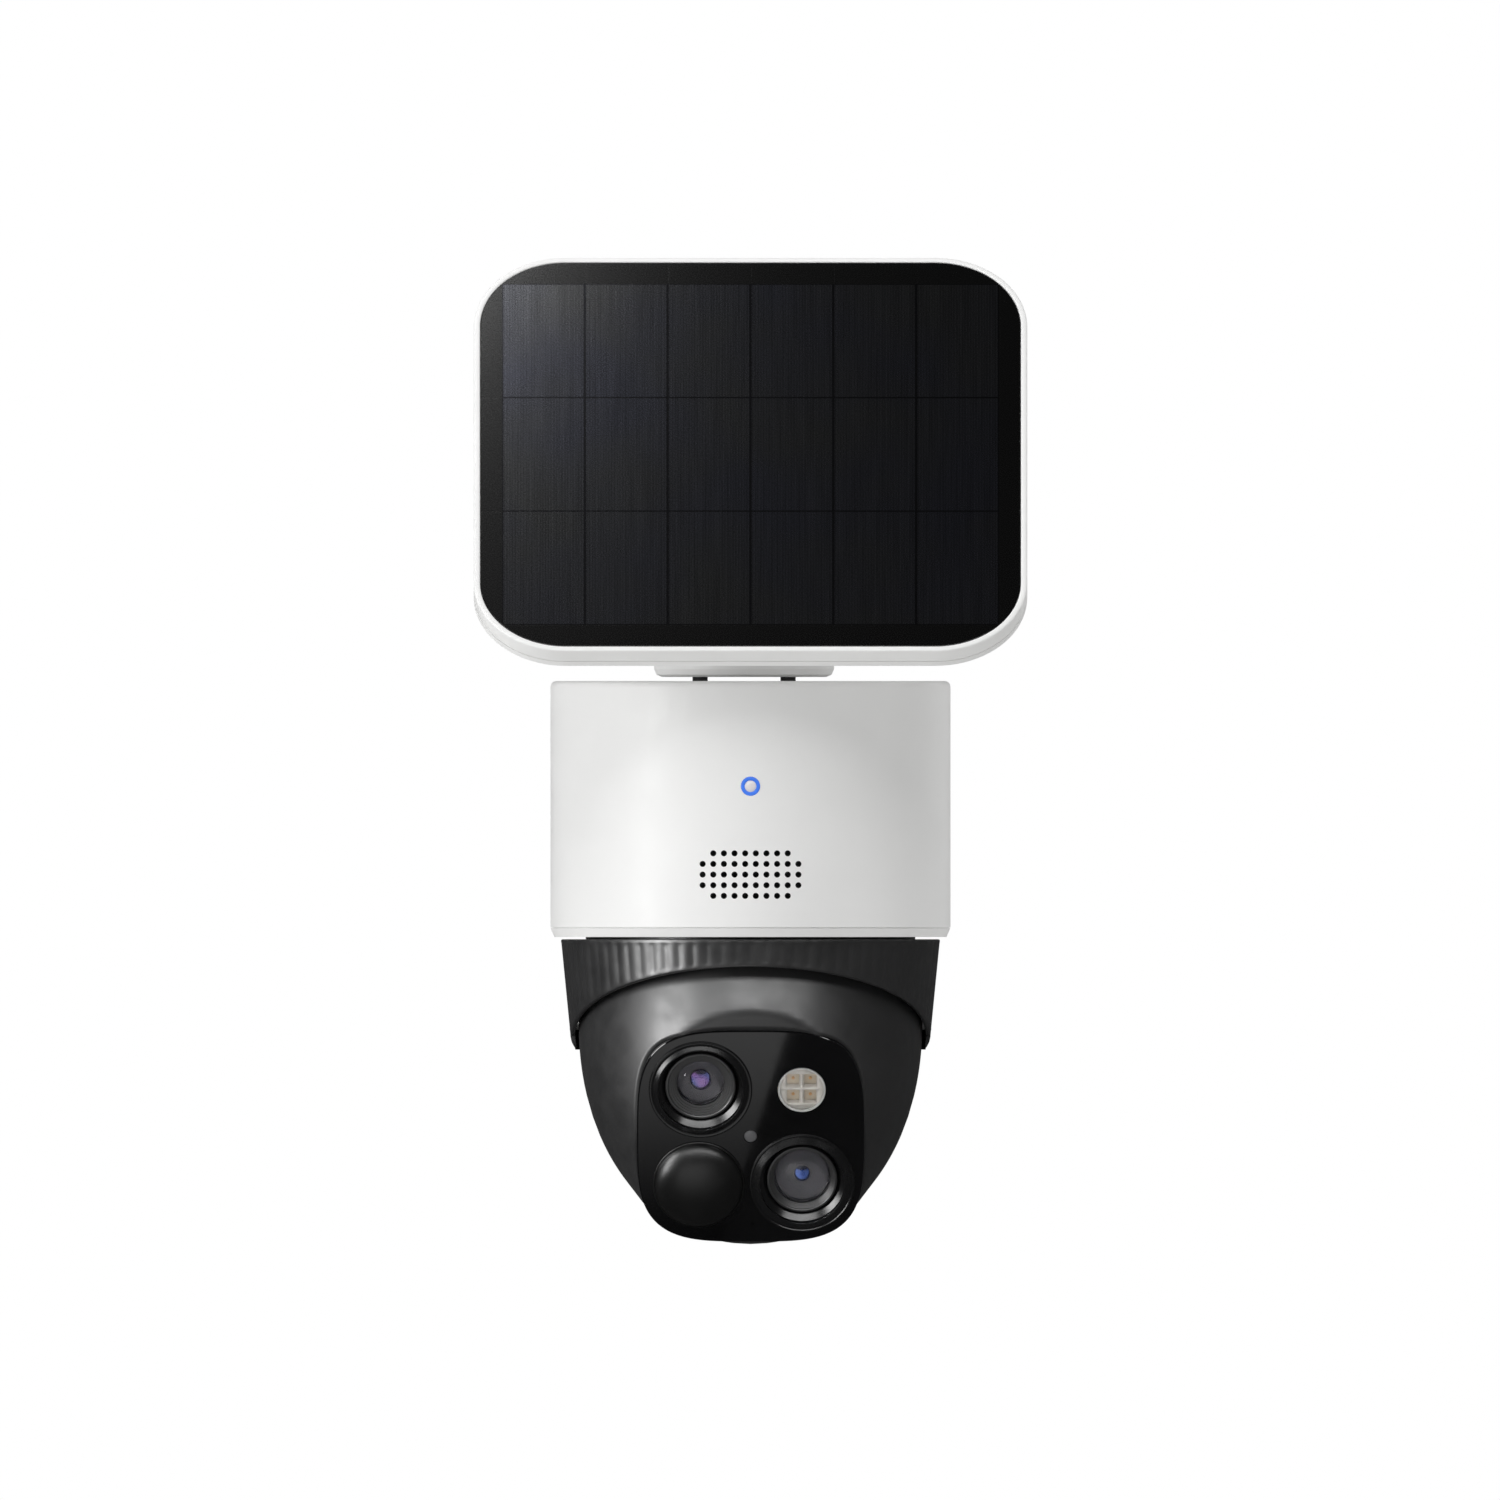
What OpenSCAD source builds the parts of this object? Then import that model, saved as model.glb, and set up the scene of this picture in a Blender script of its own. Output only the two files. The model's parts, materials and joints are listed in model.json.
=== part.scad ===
// Solar-powered pan and tilt security camera on a wall bracket.
// Origin: centre of the bracket's hole pattern on the wall face. +X right, +Z up, the front faces -Y.

/* [Housing] */
// Width of the housing, twice the radius of its half-round front
body_w = 100; // [98:1:104]
// Height of the housing with its bottom cover
body_h = 64; // [63:1:68]
// Distance from the wall to the back of the housing
wall_gap = 9; // [9:0.5:12]
// Radius of the two rear corners
rear_corner = 10; // [9:0.5:11]
// Wall thickness of the housing
body_wall = 2.2; // [2:0.1:2.4]
// Thickness of the bottom cover
bottom_t = 2.4; // [2.2:0.1:2.6]
// Rounding of the housing's top edge
top_round = 1.4; // [0.8:0.2:2]

/* [Wall bracket] */
// Width of the hole pattern in the bracket
hole_pitch_x = 48; // [46:1:50]
// Height of the hole pattern in the bracket
hole_pitch_z = 38; // [36:1:40]
// Diameter of the bracket's screw holes
hole_d = 4.5; // [4:0.1:5]
// Thickness of the bracket plate
bracket_t = 3; // [2.5:0.1:3.2]

/* [Speaker grille and status light] */
// Spacing of the grille holes
grille_pitch = 2.66; // [2.5:0.02:2.8]
// Diameter of one grille hole
grille_hole_d = 1.5; // [1.2:0.1:1.8]
// Height of the grille's centre
grille_z = -16.4; // [-17:0.1:-16]
// Diameter of the status light ring
led_d = 4.85; // [4:0.05:5.5]
// Height of the status light
led_z = 5.7; // [4:0.1:8]

/* [Solar panel] */
// Width of the panel over its frame
panel_w = 138.4; // [130:0.2:146]
// Length of the panel over its frame, measured along the slope
panel_l = 132.4; // [126:0.2:138]
// Width of the frame's rim round the glass
panel_rim = 1.6; // [1.2:0.1:2.5]
// Outer corner radius of the panel
panel_corner = 23; // [15:0.5:28]
// Thickness of the panel
panel_t = 5.5; // [5:0.1:6]
// Lean of the panel from upright at rest
panel_lean = 42; // [40:1:50]
// Height of the panel's centre above the origin
panel_z = 88.65; // [88:0.1:94]
// Solar cells across
cells_x = 6; // [4:1:8]
// Solar cells up the slope
cells_y = 3; // [2:1:5]

/* [Panel mount] */
// Radius of the round hub on the housing's top
hub_r = 22.5; // [21:0.5:24]
// Sideways place of the hub
hub_x = -1.6; // [-2:0.1:0]
// Distance of the hub's centre from the wall
hub_back = 67; // [60:1:68]

/* [Hood and head] */
// Radius of the hood at its top
hood_r = 47.4; // [47:0.1:47.6]
// Height of the tilt axis above the origin
tilt_z = -52.75; // [-53:0.05:-52.5]
// Radius of the head's round back
head_r = 43; // [42.6:0.1:43.1]
// Reach of the head's chin from the tilt axis
chin_reach = 57.5; // [56:0.1:58]
// Angle of the chin below the horizontal
chin_down = 66; // [64:1:68]
// Angle of the face below the horizontal
face_down = 22.5; // [21:0.5:24]
// Distance of the face from the tilt axis
face_reach = 40.5; // [40:0.1:40.6]
// Half width of the face plate
face_half = 28.4; // [28:0.1:28.6]

/* [Gears] */
// Gear module of the pan drive
pan_module = 0.9; // [0.9:0.1:0.9]
// Teeth on the pan ring gear
pan_teeth = 98; // [98:14:98]
// Teeth on the pan motor's pinion
pan_pinion_teeth = 14; // [14:1:14]
// Gear module of the tilt drive
tilt_module = 0.8; // [0.8:0.1:0.8]
// Teeth on the fixed tilt gear
tilt_teeth = 36; // [36:12:36]
// Teeth on the tilt motor's pinion
tilt_pinion_teeth = 12; // [12:1:12]

/* [Hidden] */

$fn = 96;
e = 0.05;                                       // overshoot of a cutting tool

// Housing
body_r = body_w / 2;
body_top = body_h / 2;
body_bottom = -body_h / 2;
seam_z = body_bottom + bottom_t;
pan_y = -wall_gap - body_r;
front_y = pan_y - body_r;
rear_wall_y = -wall_gap - 4.8;
ceiling_z = body_top - 2.5;
cover_w = 79;
cover_z0 = body_bottom + 6;
cover_z1 = body_top - 4;
cover_t = 2.5;
gasket_t = 0.8;

// Shared screw: head, shank and the hole it cuts
screw_head_r = 2.3;
screw_head_h = 1.6;
screw_r = 1.25;
cover_screw_x = 36.4;
cover_screw_z = [cover_z0 + 6.1, cover_z1 - 6.1];
bottom_boss = [27, -16.2];
board_post = [37, 18];
board_z = 17;
board_t = 1.6;
board_seat = 2.5;                               // plastic between a post's screw head and the board
boss_r = 2.9;
hole_clear = 0.15;                              // radial room round a screw's shank
head_clear = 0.2;                               // radial room round a screw's head

// Panel mount
hub_y = -hub_back;
hub_z0 = body_top + 1;
hub_z1 = hub_z0 + 7;
rail_x = 11;
post_r = 5;
hinge_back = 12;
hinge_z = panel_z - (panel_t + hinge_back) * sin(panel_lean);
hinge_pin_r = 2.5;
fork_in = 9;
fork_out = 13;

// Solar panel: cell size with its gap, fixing screws and the glass in its frame
cell_w = 20.7;
cell_h = 38.2;
cell_gap = 0.7;
panel_screw_x = 62;
panel_screw_y = 50;
inner_corner = panel_corner - panel_rim;
glass_gap = 0.1;
lug_w = 2 * fork_in - 0.8;

// Hood, cup and pan drive
hood_top = body_bottom - 0.55;
hood_bottom = tilt_z - 7.4;
roof_t = 2;
cup_in = head_r + 1.2;
cup_out = cup_in + 1.6;
collar_r = 41.2;
gear_z0 = seam_z + 1.2;
gear_h = 4;
pan_pitch_r = pan_module * pan_teeth / 2;
pan_pinion_r = pan_module * pan_pinion_teeth / 2;
pan_motor_angle = 42;
pan_motor_r = 8;
pan_motor_at = [
    (pan_pitch_r + pan_pinion_r) * cos(pan_motor_angle),
    pan_y + (pan_pitch_r + pan_pinion_r) * sin(pan_motor_angle)
];
arch_rise = 2;
arch_slope = 0.4;

// Head and tilt drive
head_wall = 2.2;
split_back = 8;
face_t = 2.2;
face_drop = (-29.125 + face_reach * sin(face_down)) / cos(face_down);
face_power = 3.6;
egg_power = 2.15;
face_ledge = 2;                                 // width of the ledge that the face plate sits on
barrel_l = 14;
tilt_pitch_r = tilt_module * tilt_teeth / 2;
tilt_pinion_r = tilt_module * tilt_pinion_teeth / 2;
tilt_motor_angle = 45;
tilt_motor_r = tilt_pitch_r + tilt_pinion_r;
tilt_gear_x = -29;
pressure_angle = 25;
backlash = 0.2;
pivot_r = 2.5;
bush_r = 4;
running = 0.05;                                 // radial clearance of a running fit

// Places of the parts on the face: sideways and up the face from its centre
wide_at = [-12.5, 12.7];
tele_at = [12.9, -12.5];
motion_at = [-12.95, -12.9];
spot_at = [12.8, 12.6];
light_at = [0, 0];
mic_at = [0.45, -23.5];

// Hook plate of the bracket, its rails on the rear cover and the lock screw
tongue_w = 30;
tongue_h = 32;
neck_w = 20;
rail_in = tongue_w / 2 + 0.4;
rail_out = rail_in + 5;
lock_z = -tongue_h / 2 - 2.2;
lock_x = (rail_in + rail_out) / 2;

// Battery cells
cell_r = 9.2;
cell_l = 65;
cell_pitch = 18.8;
cell_z = 4.5;
cradle_drop = 9.8;                              // from the cells' axes down to the cradle's floor

// Button and charging port
button_at = [-44, -14];                         // distance along Y and height of the side button
button_r = 4;
port_at = [-body_r + rear_corner, -wall_gap - rear_corner];
port_turn = 135;
port_seat = [14.6, 10.4];
flap_hinge_y = port_seat[1] / 2 - 1;

// ---------- shared shapes ----------

module at_pan() translate([0, pan_y, 0]) children();

module at_tilt() translate([0, pan_y, tilt_z]) children();

// Local X runs along Y, local Y along Z and local Z along X
module along_x() rotate([90, 0, 90]) children();

// Local Z runs along X
module along_x_local() rotate([0, 90, 0]) children();

// Local Z points to the rear, towards the wall
module facing_rear() rotate([-90, 0, 0]) children();

// Local origin at the face's centre, X right, Y up the face, Z out of it
module at_face() at_tilt() on_face() children();

// Local origin at a place on the face, lifted out of it
module at_place(p, lift = 0) at_face() translate([p[0], p[1], lift]) children();

// From the tilt axis to the face's centre
module on_face() rotate([90 + face_down, 0, 0]) translate([0, face_drop, face_reach]) children();

// Local origin at the panel's centre on its front surface, Y up the slope, Z out of it
module at_panel() translate([0, hub_y, hinge_z]) rotate([90 - panel_lean, 0, 0])
    translate([0, 0, panel_t + hinge_back]) children();

module rounded_rect(w, h, r) {
    square([w - 2 * r, h], center = true);
    square([w, h - 2 * r], center = true);
    for (sx = [-1, 1], sy = [-1, 1])
        translate([sx * (w / 2 - r), sy * (h / 2 - r)]) circle(r);
}

// Plan outline of the housing: half-round front, straight sides, rounded rear corners
module plan(inset) {
    r = body_r - inset;
    c = rear_corner - inset;
    straight = body_r - rear_corner;
    at_pan() circle(r);
    translate([-r, pan_y]) square([2 * r, straight]);
    translate([-straight, pan_y]) square([2 * straight, body_r - inset]);
    for (s = [-1, 1]) translate([s * straight, -wall_gap - rear_corner]) circle(c);
}

module tube(r_out, r_in, h) difference() {
    cylinder(r = r_out, h = h);
    translate([0, 0, -e]) cylinder(r = r_in, h = h + 2 * e);
}

// Screw with its head's underside at the origin and its shank along +Z
module screw(l) {
    translate([0, 0, -screw_head_h]) difference() {
        cylinder(r = screw_head_r, h = screw_head_h);
        translate([0, 0, -e]) cylinder(r = 1.1, h = 1, $fn = 6);
    }
    cylinder(r = screw_r, h = l);
}

// Copies for the four posts that carry the cradle and the main board
module at_posts(z) for (x = [-1, 1], y = [-1, 1])
    translate([x * board_post[0], pan_y + y * board_post[1], z]) children();

// Copies for the two screws of the bottom cover
module at_bottom_screws(z) for (s = [-1, 1]) translate([s * bottom_boss[0], bottom_boss[1], z]) children();

// Copies for the six screws of the solar panel, in the panel's own frame
module at_panel_screws(z) for (x = [-1, 1], y = [-1 : 1])
    translate([x * panel_screw_x, y * panel_screw_y, z]) children();

// Superellipse outline with half width a and half height b
function squircle(a, b, n, count) = [
    for (i = [0 : count - 1]) let (t = 360 * i / count)
        [a * sign(cos(t)) * pow(abs(cos(t)), 2 / n), b * sign(sin(t)) * pow(abs(sin(t)), 2 / n)]
];

// Half profile of the chin, a superellipse turned about its long axis
function egg(a, b, steps) = concat(
    [[0, 0]],
    [for (i = [0 : steps]) let (t = 90 * i / steps)
        [i == steps ? 0 : a * pow(cos(t), 2 / egg_power), b * pow(sin(t), 2 / egg_power)]]
);

// Involute gear outline, with its first tooth on the local X axis
function involute(r, rb) = r <= rb ? 0 : tan(acos(rb / r)) * 180 / PI - acos(rb / r);
function polar(r, a) = r * [cos(a), sin(a)];
function gear_outline(m, z) = let (
    rp = m * z / 2,
    rb = rp * cos(pressure_angle),
    root = rp - 1.1 * m,
    tip = rp + 0.8 * m,
    half = 90 / z - backlash / 2 / rp * 180 / PI + involute(rp, rb),
    radii = [root, max(rb, root + 0.1), rp, (rp + tip) / 2, tip]
) [
    for (k = [0 : z - 1]) each concat(
        [for (i = [0 : 4]) polar(radii[i], 360 * k / z - half + involute(radii[i], rb))],
        [for (i = [4 : -1 : 0]) polar(radii[i], 360 * k / z + half - involute(radii[i], rb))]
    )
];

// ---------- wall bracket ----------

module wall_bracket() color("white") difference() {
    union() {
        facing_rear() translate([0, 0, -bracket_t])
            linear_extrude(bracket_t) rounded_rect(hole_pitch_x + 10, hole_pitch_z + 14, 6);
        translate([-neck_w / 2, -5.6, -tongue_h / 2]) cube([neck_w, 5.6 - bracket_t + e, tongue_h]);
        translate([-tongue_w / 2, -8.2, -tongue_h / 2]) cube([tongue_w, 2.7, tongue_h]);
        translate([lock_x - 4, -8.4, lock_z - 3]) cube([8, 8.4 - bracket_t + e, 3]);
    }
    for (x = [-1, 1], z = [-1, 1]) translate([x * hole_pitch_x / 2, 0, z * hole_pitch_z / 2])
        facing_rear() translate([0, 0, -bracket_t - e]) cylinder(d = hole_d, h = bracket_t + 2 * e);
    translate([lock_x, -6.1, lock_z - 4]) cylinder(r = 1.6, h = 6);
}

module bracket_lock_screw() color("silver")
    translate([lock_x, -6.1, lock_z - 3]) screw(8);

// ---------- housing ----------

module top_edge() hull() for (i = [0 : 4]) let (a = 90 * i / 4)
    translate([0, 0, body_top - top_round + top_round * sin(a)])
        linear_extrude(0.01) plan(0.02 + top_round * (1 - cos(a)), $fn = 96);

module rear_plate(w, z0, z1, y0, t, r) translate([0, y0, (z0 + z1) / 2])
    facing_rear() linear_extrude(t) rounded_rect(w, z1 - z0, r);

function grille_row_count(row) = abs(row) == 2 ? 8 : 10;

module grille_holes() for (row = [-2 : 2]) let (count = grille_row_count(row)) for (i = [0 : count - 1])
    translate([(i - (count - 1) / 2) * grille_pitch, front_y - 1, grille_z + row * grille_pitch])
        facing_rear() cylinder(d = grille_hole_d, h = 8, $fn = 24);

module cover_bosses() for (x = [-1, 1], z = cover_screw_z)
    translate([x * cover_screw_x, rear_wall_y - 2.4, z]) facing_rear() cylinder(r = boss_r, h = 3);

module housing_shell() color("white") difference() {
    union() {
        difference() {
            union() {
                translate([0, 0, seam_z]) linear_extrude(body_top - top_round - seam_z) plan(0);
                translate([0, 0, -0.01]) top_edge();
            }
            intersection() {
                translate([0, 0, seam_z - e]) linear_extrude(ceiling_z - seam_z + e) plan(body_wall);
                translate([-body_r, front_y, seam_z - 1]) cube([body_w, rear_wall_y - front_y, body_h]);
            }
        }
        cover_bosses();
        at_bottom_screws(seam_z) cylinder(r = boss_r, h = 9);
        at_posts(board_z + board_t) cylinder(r = 3, h = ceiling_z - board_z - board_t + e);
    }
    rear_plate(cover_w, cover_z0, cover_z1, -wall_gap - cover_t - gasket_t, 6, 4);
    rear_plate(cover_w - 20, cover_z0 + 8, cover_z1 - 8, rear_wall_y - 4, 12, 3);
    for (x = [-1, 1], z = cover_screw_z) translate([x * cover_screw_x, rear_wall_y - 2, z])
        facing_rear() cylinder(r = screw_r, h = 8);
    at_bottom_screws(seam_z - e) cylinder(r = screw_r, h = 6);
    at_posts(board_z) cylinder(r = screw_r, h = 8);
    grille_holes();
    translate([0, front_y - 1, led_z]) facing_rear() cylinder(d = led_d, h = 6);
    translate([body_r - 4, button_at[0], button_at[1]]) along_x() cylinder(r = button_r + 0.2, h = 6);
}

module rear_cover() color("white") difference() {
    union() {
        rear_plate(cover_w - 0.4, cover_z0 + 0.2, cover_z1 - 0.2, -wall_gap - cover_t, cover_t, 3.8);
        for (s = [-1, 1]) {
            translate([s > 0 ? rail_in : -rail_out, -wall_gap - e, lock_z + 2.2])
                cube([rail_out - rail_in, wall_gap - bracket_t - 0.4 + e, tongue_h]);
            translate([s > 0 ? neck_w / 2 + 0.4 : -rail_out, -5.2, lock_z + 2.2])
                cube([rail_out - neck_w / 2 - 0.4, 1.8, tongue_h]);
        }
        translate([-rail_out, -wall_gap - e, tongue_h / 2 + 0.1])
            cube([2 * rail_out, wall_gap - bracket_t - 0.4 + e, 3]);
    }
    for (x = [-1, 1], z = cover_screw_z)
        translate([x * cover_screw_x, -wall_gap - cover_t - e, z]) facing_rear() {
            cylinder(r = screw_r + hole_clear, h = 4);
            translate([0, 0, 0.8]) cylinder(r = screw_head_r + head_clear, h = 4);
        }
    translate([lock_x, -6.1, lock_z + 2]) cylinder(r = screw_r, h = 6);
}

module rear_gasket() color("dimgray") difference() {
    rear_plate(cover_w - 13, cover_z0 + 4.6, cover_z1 - 4.6, -wall_gap - cover_t - gasket_t, gasket_t, 4);
    rear_plate(cover_w - 19, cover_z0 + 7.6, cover_z1 - 7.6, -wall_gap - cover_t - 2 * gasket_t, 4, 2.5);
}

module at_port() translate([port_at[0], port_at[1], body_bottom]) rotate([0, 0, port_turn - 90]) children();

module bottom_cover() color("white") difference() {
    hull() {
        translate([0, 0, seam_z - 0.31]) linear_extrude(0.01) plan(0.1, $fn = 96);
        translate([0, 0, body_bottom]) linear_extrude(0.01) plan(1, $fn = 96);
        translate([0, 0, seam_z - 0.02]) linear_extrude(0.01) plan(0.4, $fn = 96);
    }
    at_pan() translate([0, 0, body_bottom - 1]) cylinder(r = collar_r + 0.4, h = bottom_t + 2);
    at_bottom_screws(body_bottom - e) {
        cylinder(r = screw_r + hole_clear, h = 4);
        cylinder(r = screw_head_r + head_clear, h = screw_head_h + e);
    }
    at_port() {
        translate([0, 0, -e]) linear_extrude(1.5 + e) rounded_rect(port_seat[0], port_seat[1], 1.5);
        translate([0, 0, -e]) linear_extrude(4) rounded_rect(9.6, 3.9, 1.9);
    }
}

module housing_screws() color("silver") {
    for (x = [-1, 1], z = cover_screw_z) translate([x * cover_screw_x, -wall_gap - cover_t + 0.8 - e, z])
        rotate([90, 0, 0]) screw(4.9);
    at_bottom_screws(body_bottom + screw_head_h) screw(6);
    at_posts(board_z - board_seat) screw(8.6);
}

module status_light_ring() color("deepskyblue") translate([0, front_y - 0.1, led_z])
    facing_rear() difference() {
        cylinder(r = led_d / 2 - 0.03, h = 5);
        translate([0, 0, -e]) cylinder(r = led_d / 2 - 0.9, h = 2);
    }

module speaker() color("dimgray") translate([0, front_y + body_wall + 2.9, grille_z]) facing_rear() {
    linear_extrude(4.6) rounded_rect(30, 14.8, 4);
    translate([0, 0, 4.5]) linear_extrude(1.6) rounded_rect(14, 9, 2);
}

module main_board() color("seagreen") translate([0, pan_y, board_z]) {
    difference() {
        linear_extrude(board_t) rounded_rect(82, 44, 3);
        for (x = [-1, 1], y = [-1, 1])
            translate([x * board_post[0], y * board_post[1], -e]) cylinder(r = 1.5, h = 3);
    }
    translate([-20, -12, board_t - e]) cube([24, 24, 2.4]);
    translate([10, -10, board_t - e]) cube([14, 12, 1.6]);
    translate([10, 6, board_t - e]) cube([16, 6, 5]);
}

module battery_cells() color("steelblue") for (i = [-1 : 1])
    translate([-cell_l / 2, pan_y + i * cell_pitch, cell_z]) along_x() {
        cylinder(r = cell_r, h = cell_l - 1.5);
        cylinder(r = 3.2, h = cell_l);
    }

module battery_cradle() color("gray") difference() {
    union() {
        translate([-34.5, pan_y - 29, cell_z - cradle_drop]) cube([69, 58, 6]);
        at_posts(cell_z - cradle_drop) cylinder(r = 3.4, h = board_z - cell_z + cradle_drop);
        for (x = [-1, 1]) translate([x * 35.7 - 1.9, pan_y - 18, cell_z - cradle_drop]) cube([3.8, 36, 6]);
    }
    for (i = [-1 : 1]) translate([-cell_l / 2 - 0.3, pan_y + i * cell_pitch, cell_z])
        along_x() cylinder(r = cell_r + 0.15, h = cell_l + 0.6);
    at_posts(cell_z - 10) {
        cylinder(r = screw_r + hole_clear, h = 40);
        cylinder(r = screw_head_r + head_clear, h = board_z - board_seat - cell_z + 10);
    }
}

module wifi_antenna() color("goldenrod") translate([-28, pan_y + 36, 20]) cube([44, 0.8, 7]);

// ---------- charging port and button ----------

module charge_port() color("silver") at_port() translate([0, 0, 1.6]) difference() {
    linear_extrude(7) rounded_rect(9, 3.3, 1.6);
    translate([0, 0, -e]) linear_extrude(5.5) rounded_rect(8.2, 2.5, 1.2);
}

module port_cover() color("gray") at_port() {
    translate([0, -0.5, 0.1]) linear_extrude(1.1) rounded_rect(port_seat[0] - 0.7, port_seat[1] - 1.6, 1.2);
    translate([-port_seat[0] / 2 + 0.6, flap_hinge_y, 0.75])
        along_x_local() cylinder(r = 0.65, h = port_seat[0] - 1.2);
    translate([0, 0, 1.1]) linear_extrude(0.9) rounded_rect(7, 1.6, 0.7);
}

module power_switch() color("dimgray") translate([0, button_at[0], button_at[1]]) {
    translate([body_r - 9.4, -3.5, -3.5]) cube([4, 7, 7]);
    translate([body_r - 5.5, 0, 0]) along_x() cylinder(r = 1.6, h = 0.6);
}

module power_button() color("gray") translate([0, button_at[0], button_at[1]]) along_x() {
    translate([0, 0, body_r - 3.4]) cylinder(r = button_r, h = 3.2);
    translate([0, 0, body_r - 3.8]) cylinder(r = button_r + 1, h = 1);
}

// ---------- pan drive ----------

module pan_motor() color("silver") translate([pan_motor_at[0], pan_motor_at[1], 0]) {
    translate([0, 0, gear_z0 + gear_h + 0.5]) cylinder(r = pan_motor_r, h = 17);
    translate([0, 0, gear_z0 - 0.6]) cylinder(r = 1, h = gear_h + 2);
}

module pan_pinion() color("ivory") translate([pan_motor_at[0], pan_motor_at[1], gear_z0]) difference() {
    rotate([0, 0, pan_motor_angle + 180 + 180 / pan_pinion_teeth])
        linear_extrude(gear_h) polygon(gear_outline(pan_module, pan_pinion_teeth));
    translate([0, 0, -e]) cylinder(r = 1 + running, h = gear_h + 2 * e);
}

module pan_thrust_ring() color("ivory") at_pan() translate([0, 0, seam_z])
    tube(pan_pitch_r + 0.6, collar_r + 0.4, 1);

module pan_gear() color("ivory") at_pan() translate([0, 0, gear_z0]) difference() {
    rotate([0, 0, pan_motor_angle]) linear_extrude(gear_h) polygon(gear_outline(pan_module, pan_teeth));
    translate([0, 0, -e]) cylinder(r = collar_r, h = gear_h + 2 * e);
}

// ---------- solar panel and its mount ----------

module rail_bars(clear) for (s = [-1, 1]) translate([hub_x + s * rail_x, hub_y, body_top]) {
    translate([0, 0, 1.1]) cube([3.8 + 2 * clear, 30 + 2 * clear, 2.2 + 2 * clear], center = true);
    translate([0, 0, 3.1]) cube([6.4 + 2 * clear, 30 + 2 * clear, 1.8 + 2 * clear], center = true);
}

module panel_rails() color("black") rail_bars(0);

module panel_hub() color("white") difference() {
    translate([hub_x, hub_y, hub_z0]) rotate_extrude() polygon([
        [0, 0], [hub_r - 2, 0], [hub_r - 0.6, 0.6], [hub_r, 2], [hub_r, hub_z1 - hub_z0 - 1],
        [hub_r - 1, hub_z1 - hub_z0], [0, hub_z1 - hub_z0]
    ]);
    rail_bars(0.15);
    translate([hub_x, hub_y, hub_z0 - 1]) cylinder(r = post_r + running, h = 12);
    translate([hub_x, hub_y, hub_z0 - e]) cylinder(r = 7.4, h = 3);
    translate([hub_x, hub_y, hub_z1 - 2]) tube(15.1, 12.9, 3);
}

module swivel_seal() color("black") translate([hub_x, hub_y, hub_z1 - 0.95])
    rotate_extrude() translate([14, 0]) circle(0.95, $fn = 24);

module swivel_arm() color("white") difference() {
    translate([hub_x, hub_y, 0]) union() {
        translate([0, 0, hub_z1 + 0.2]) rotate_extrude() polygon([
            [0, 0], [18, 0], [18, 2.6], [16.5, 3.8], [11, 5.4], [8.6, 9], [8, 14], [8, 22], [0, 22]
        ]);
        translate([0, 0, hub_z0 + 2.8]) cylinder(r = post_r, h = 8);
        translate([-fork_out, -7, hinge_z - 17]) cube([2 * fork_out, 14, 8.5]);
        for (s = [-1, 1]) translate([s > 0 ? fork_in : -fork_out, 0, hinge_z]) {
            along_x() cylinder(r = 7, h = fork_out - fork_in);
            translate([0, -7, -14]) cube([fork_out - fork_in, 14, 14]);
        }
    }
    translate([hub_x - 20, hub_y, hinge_z]) along_x() cylinder(r = hinge_pin_r, h = 40);
    translate([hub_x, hub_y, hub_z0]) cylinder(r = 2, h = 12);
}

module swivel_washer() color("silver") translate([hub_x, hub_y, hub_z0 + 1.6]) tube(6.8, 2.2, 1.2);

module swivel_screw() color("silver") translate([hub_x, hub_y, hub_z0 + 1.6]) {
    translate([0, 0, -1.4]) cylinder(r = 3.6, h = 1.4);
    cylinder(r = 2, h = 10);
}

module hinge_pin() color("silver") translate([hub_x, hub_y, hinge_z]) along_x() {
    translate([0, 0, -fork_out - 5]) cylinder(r = hinge_pin_r, h = 2 * fork_out + 12);
    translate([0, 0, -fork_out - 2.5]) cylinder(r = 4.5, h = 2.5);
}

module clamp_knob() color("dimgray") translate([hub_x + fork_out + 0.3, hub_y, hinge_z])
    along_x() difference() {
        union() {
            cylinder(r = 7.5, h = 8);
            for (k = [0 : 5]) rotate([0, 0, 60 * k]) translate([7.2, 0, 1.5]) cylinder(r = 1.6, h = 6.5);
        }
        translate([0, 0, -e]) cylinder(r = hinge_pin_r + running, h = 7.2);
    }

module panel_frame() color("white") at_panel() difference() {
    translate([0, 0, -4]) linear_extrude(4.2) rounded_rect(panel_w, panel_l, panel_corner);
    translate([0, 0, -2.3]) linear_extrude(4)
        rounded_rect(panel_w - 2 * panel_rim, panel_l - 2 * panel_rim, inner_corner);
    translate([0, 0, -5]) linear_extrude(8) difference() {
        rounded_rect(panel_w - 8, panel_l - 8, panel_corner - 4);
        at_panel_screws(0) circle(4);
    }
    at_panel_screws(-5) cylinder(r = screw_r, h = 2.4);
}

module panel_back_cover() color("white") at_panel() difference() {
    union() {
        translate([0, 0, -panel_t]) linear_extrude(panel_t - 4) rounded_rect(panel_w, panel_l, panel_corner);
        translate([hub_x - lug_w / 2, 0, -panel_t - hinge_back]) along_x_local() cylinder(r = 7, h = lug_w);
        translate([hub_x - lug_w / 2, -7, -panel_t - hinge_back]) cube([lug_w, 14, hinge_back + 0.5]);
        translate([hub_x - 2, -16, -panel_t - 5]) cube([4, 32, 5.5]);
    }
    translate([hub_x - 12, 0, -panel_t - hinge_back]) along_x_local()
        cylinder(r = hinge_pin_r + running, h = 24);
    at_panel_screws(-panel_t - e) {
        cylinder(r = screw_r + hole_clear, h = 3);
        cylinder(r = screw_head_r + head_clear, h = 0.9 + e);
    }
}

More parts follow.
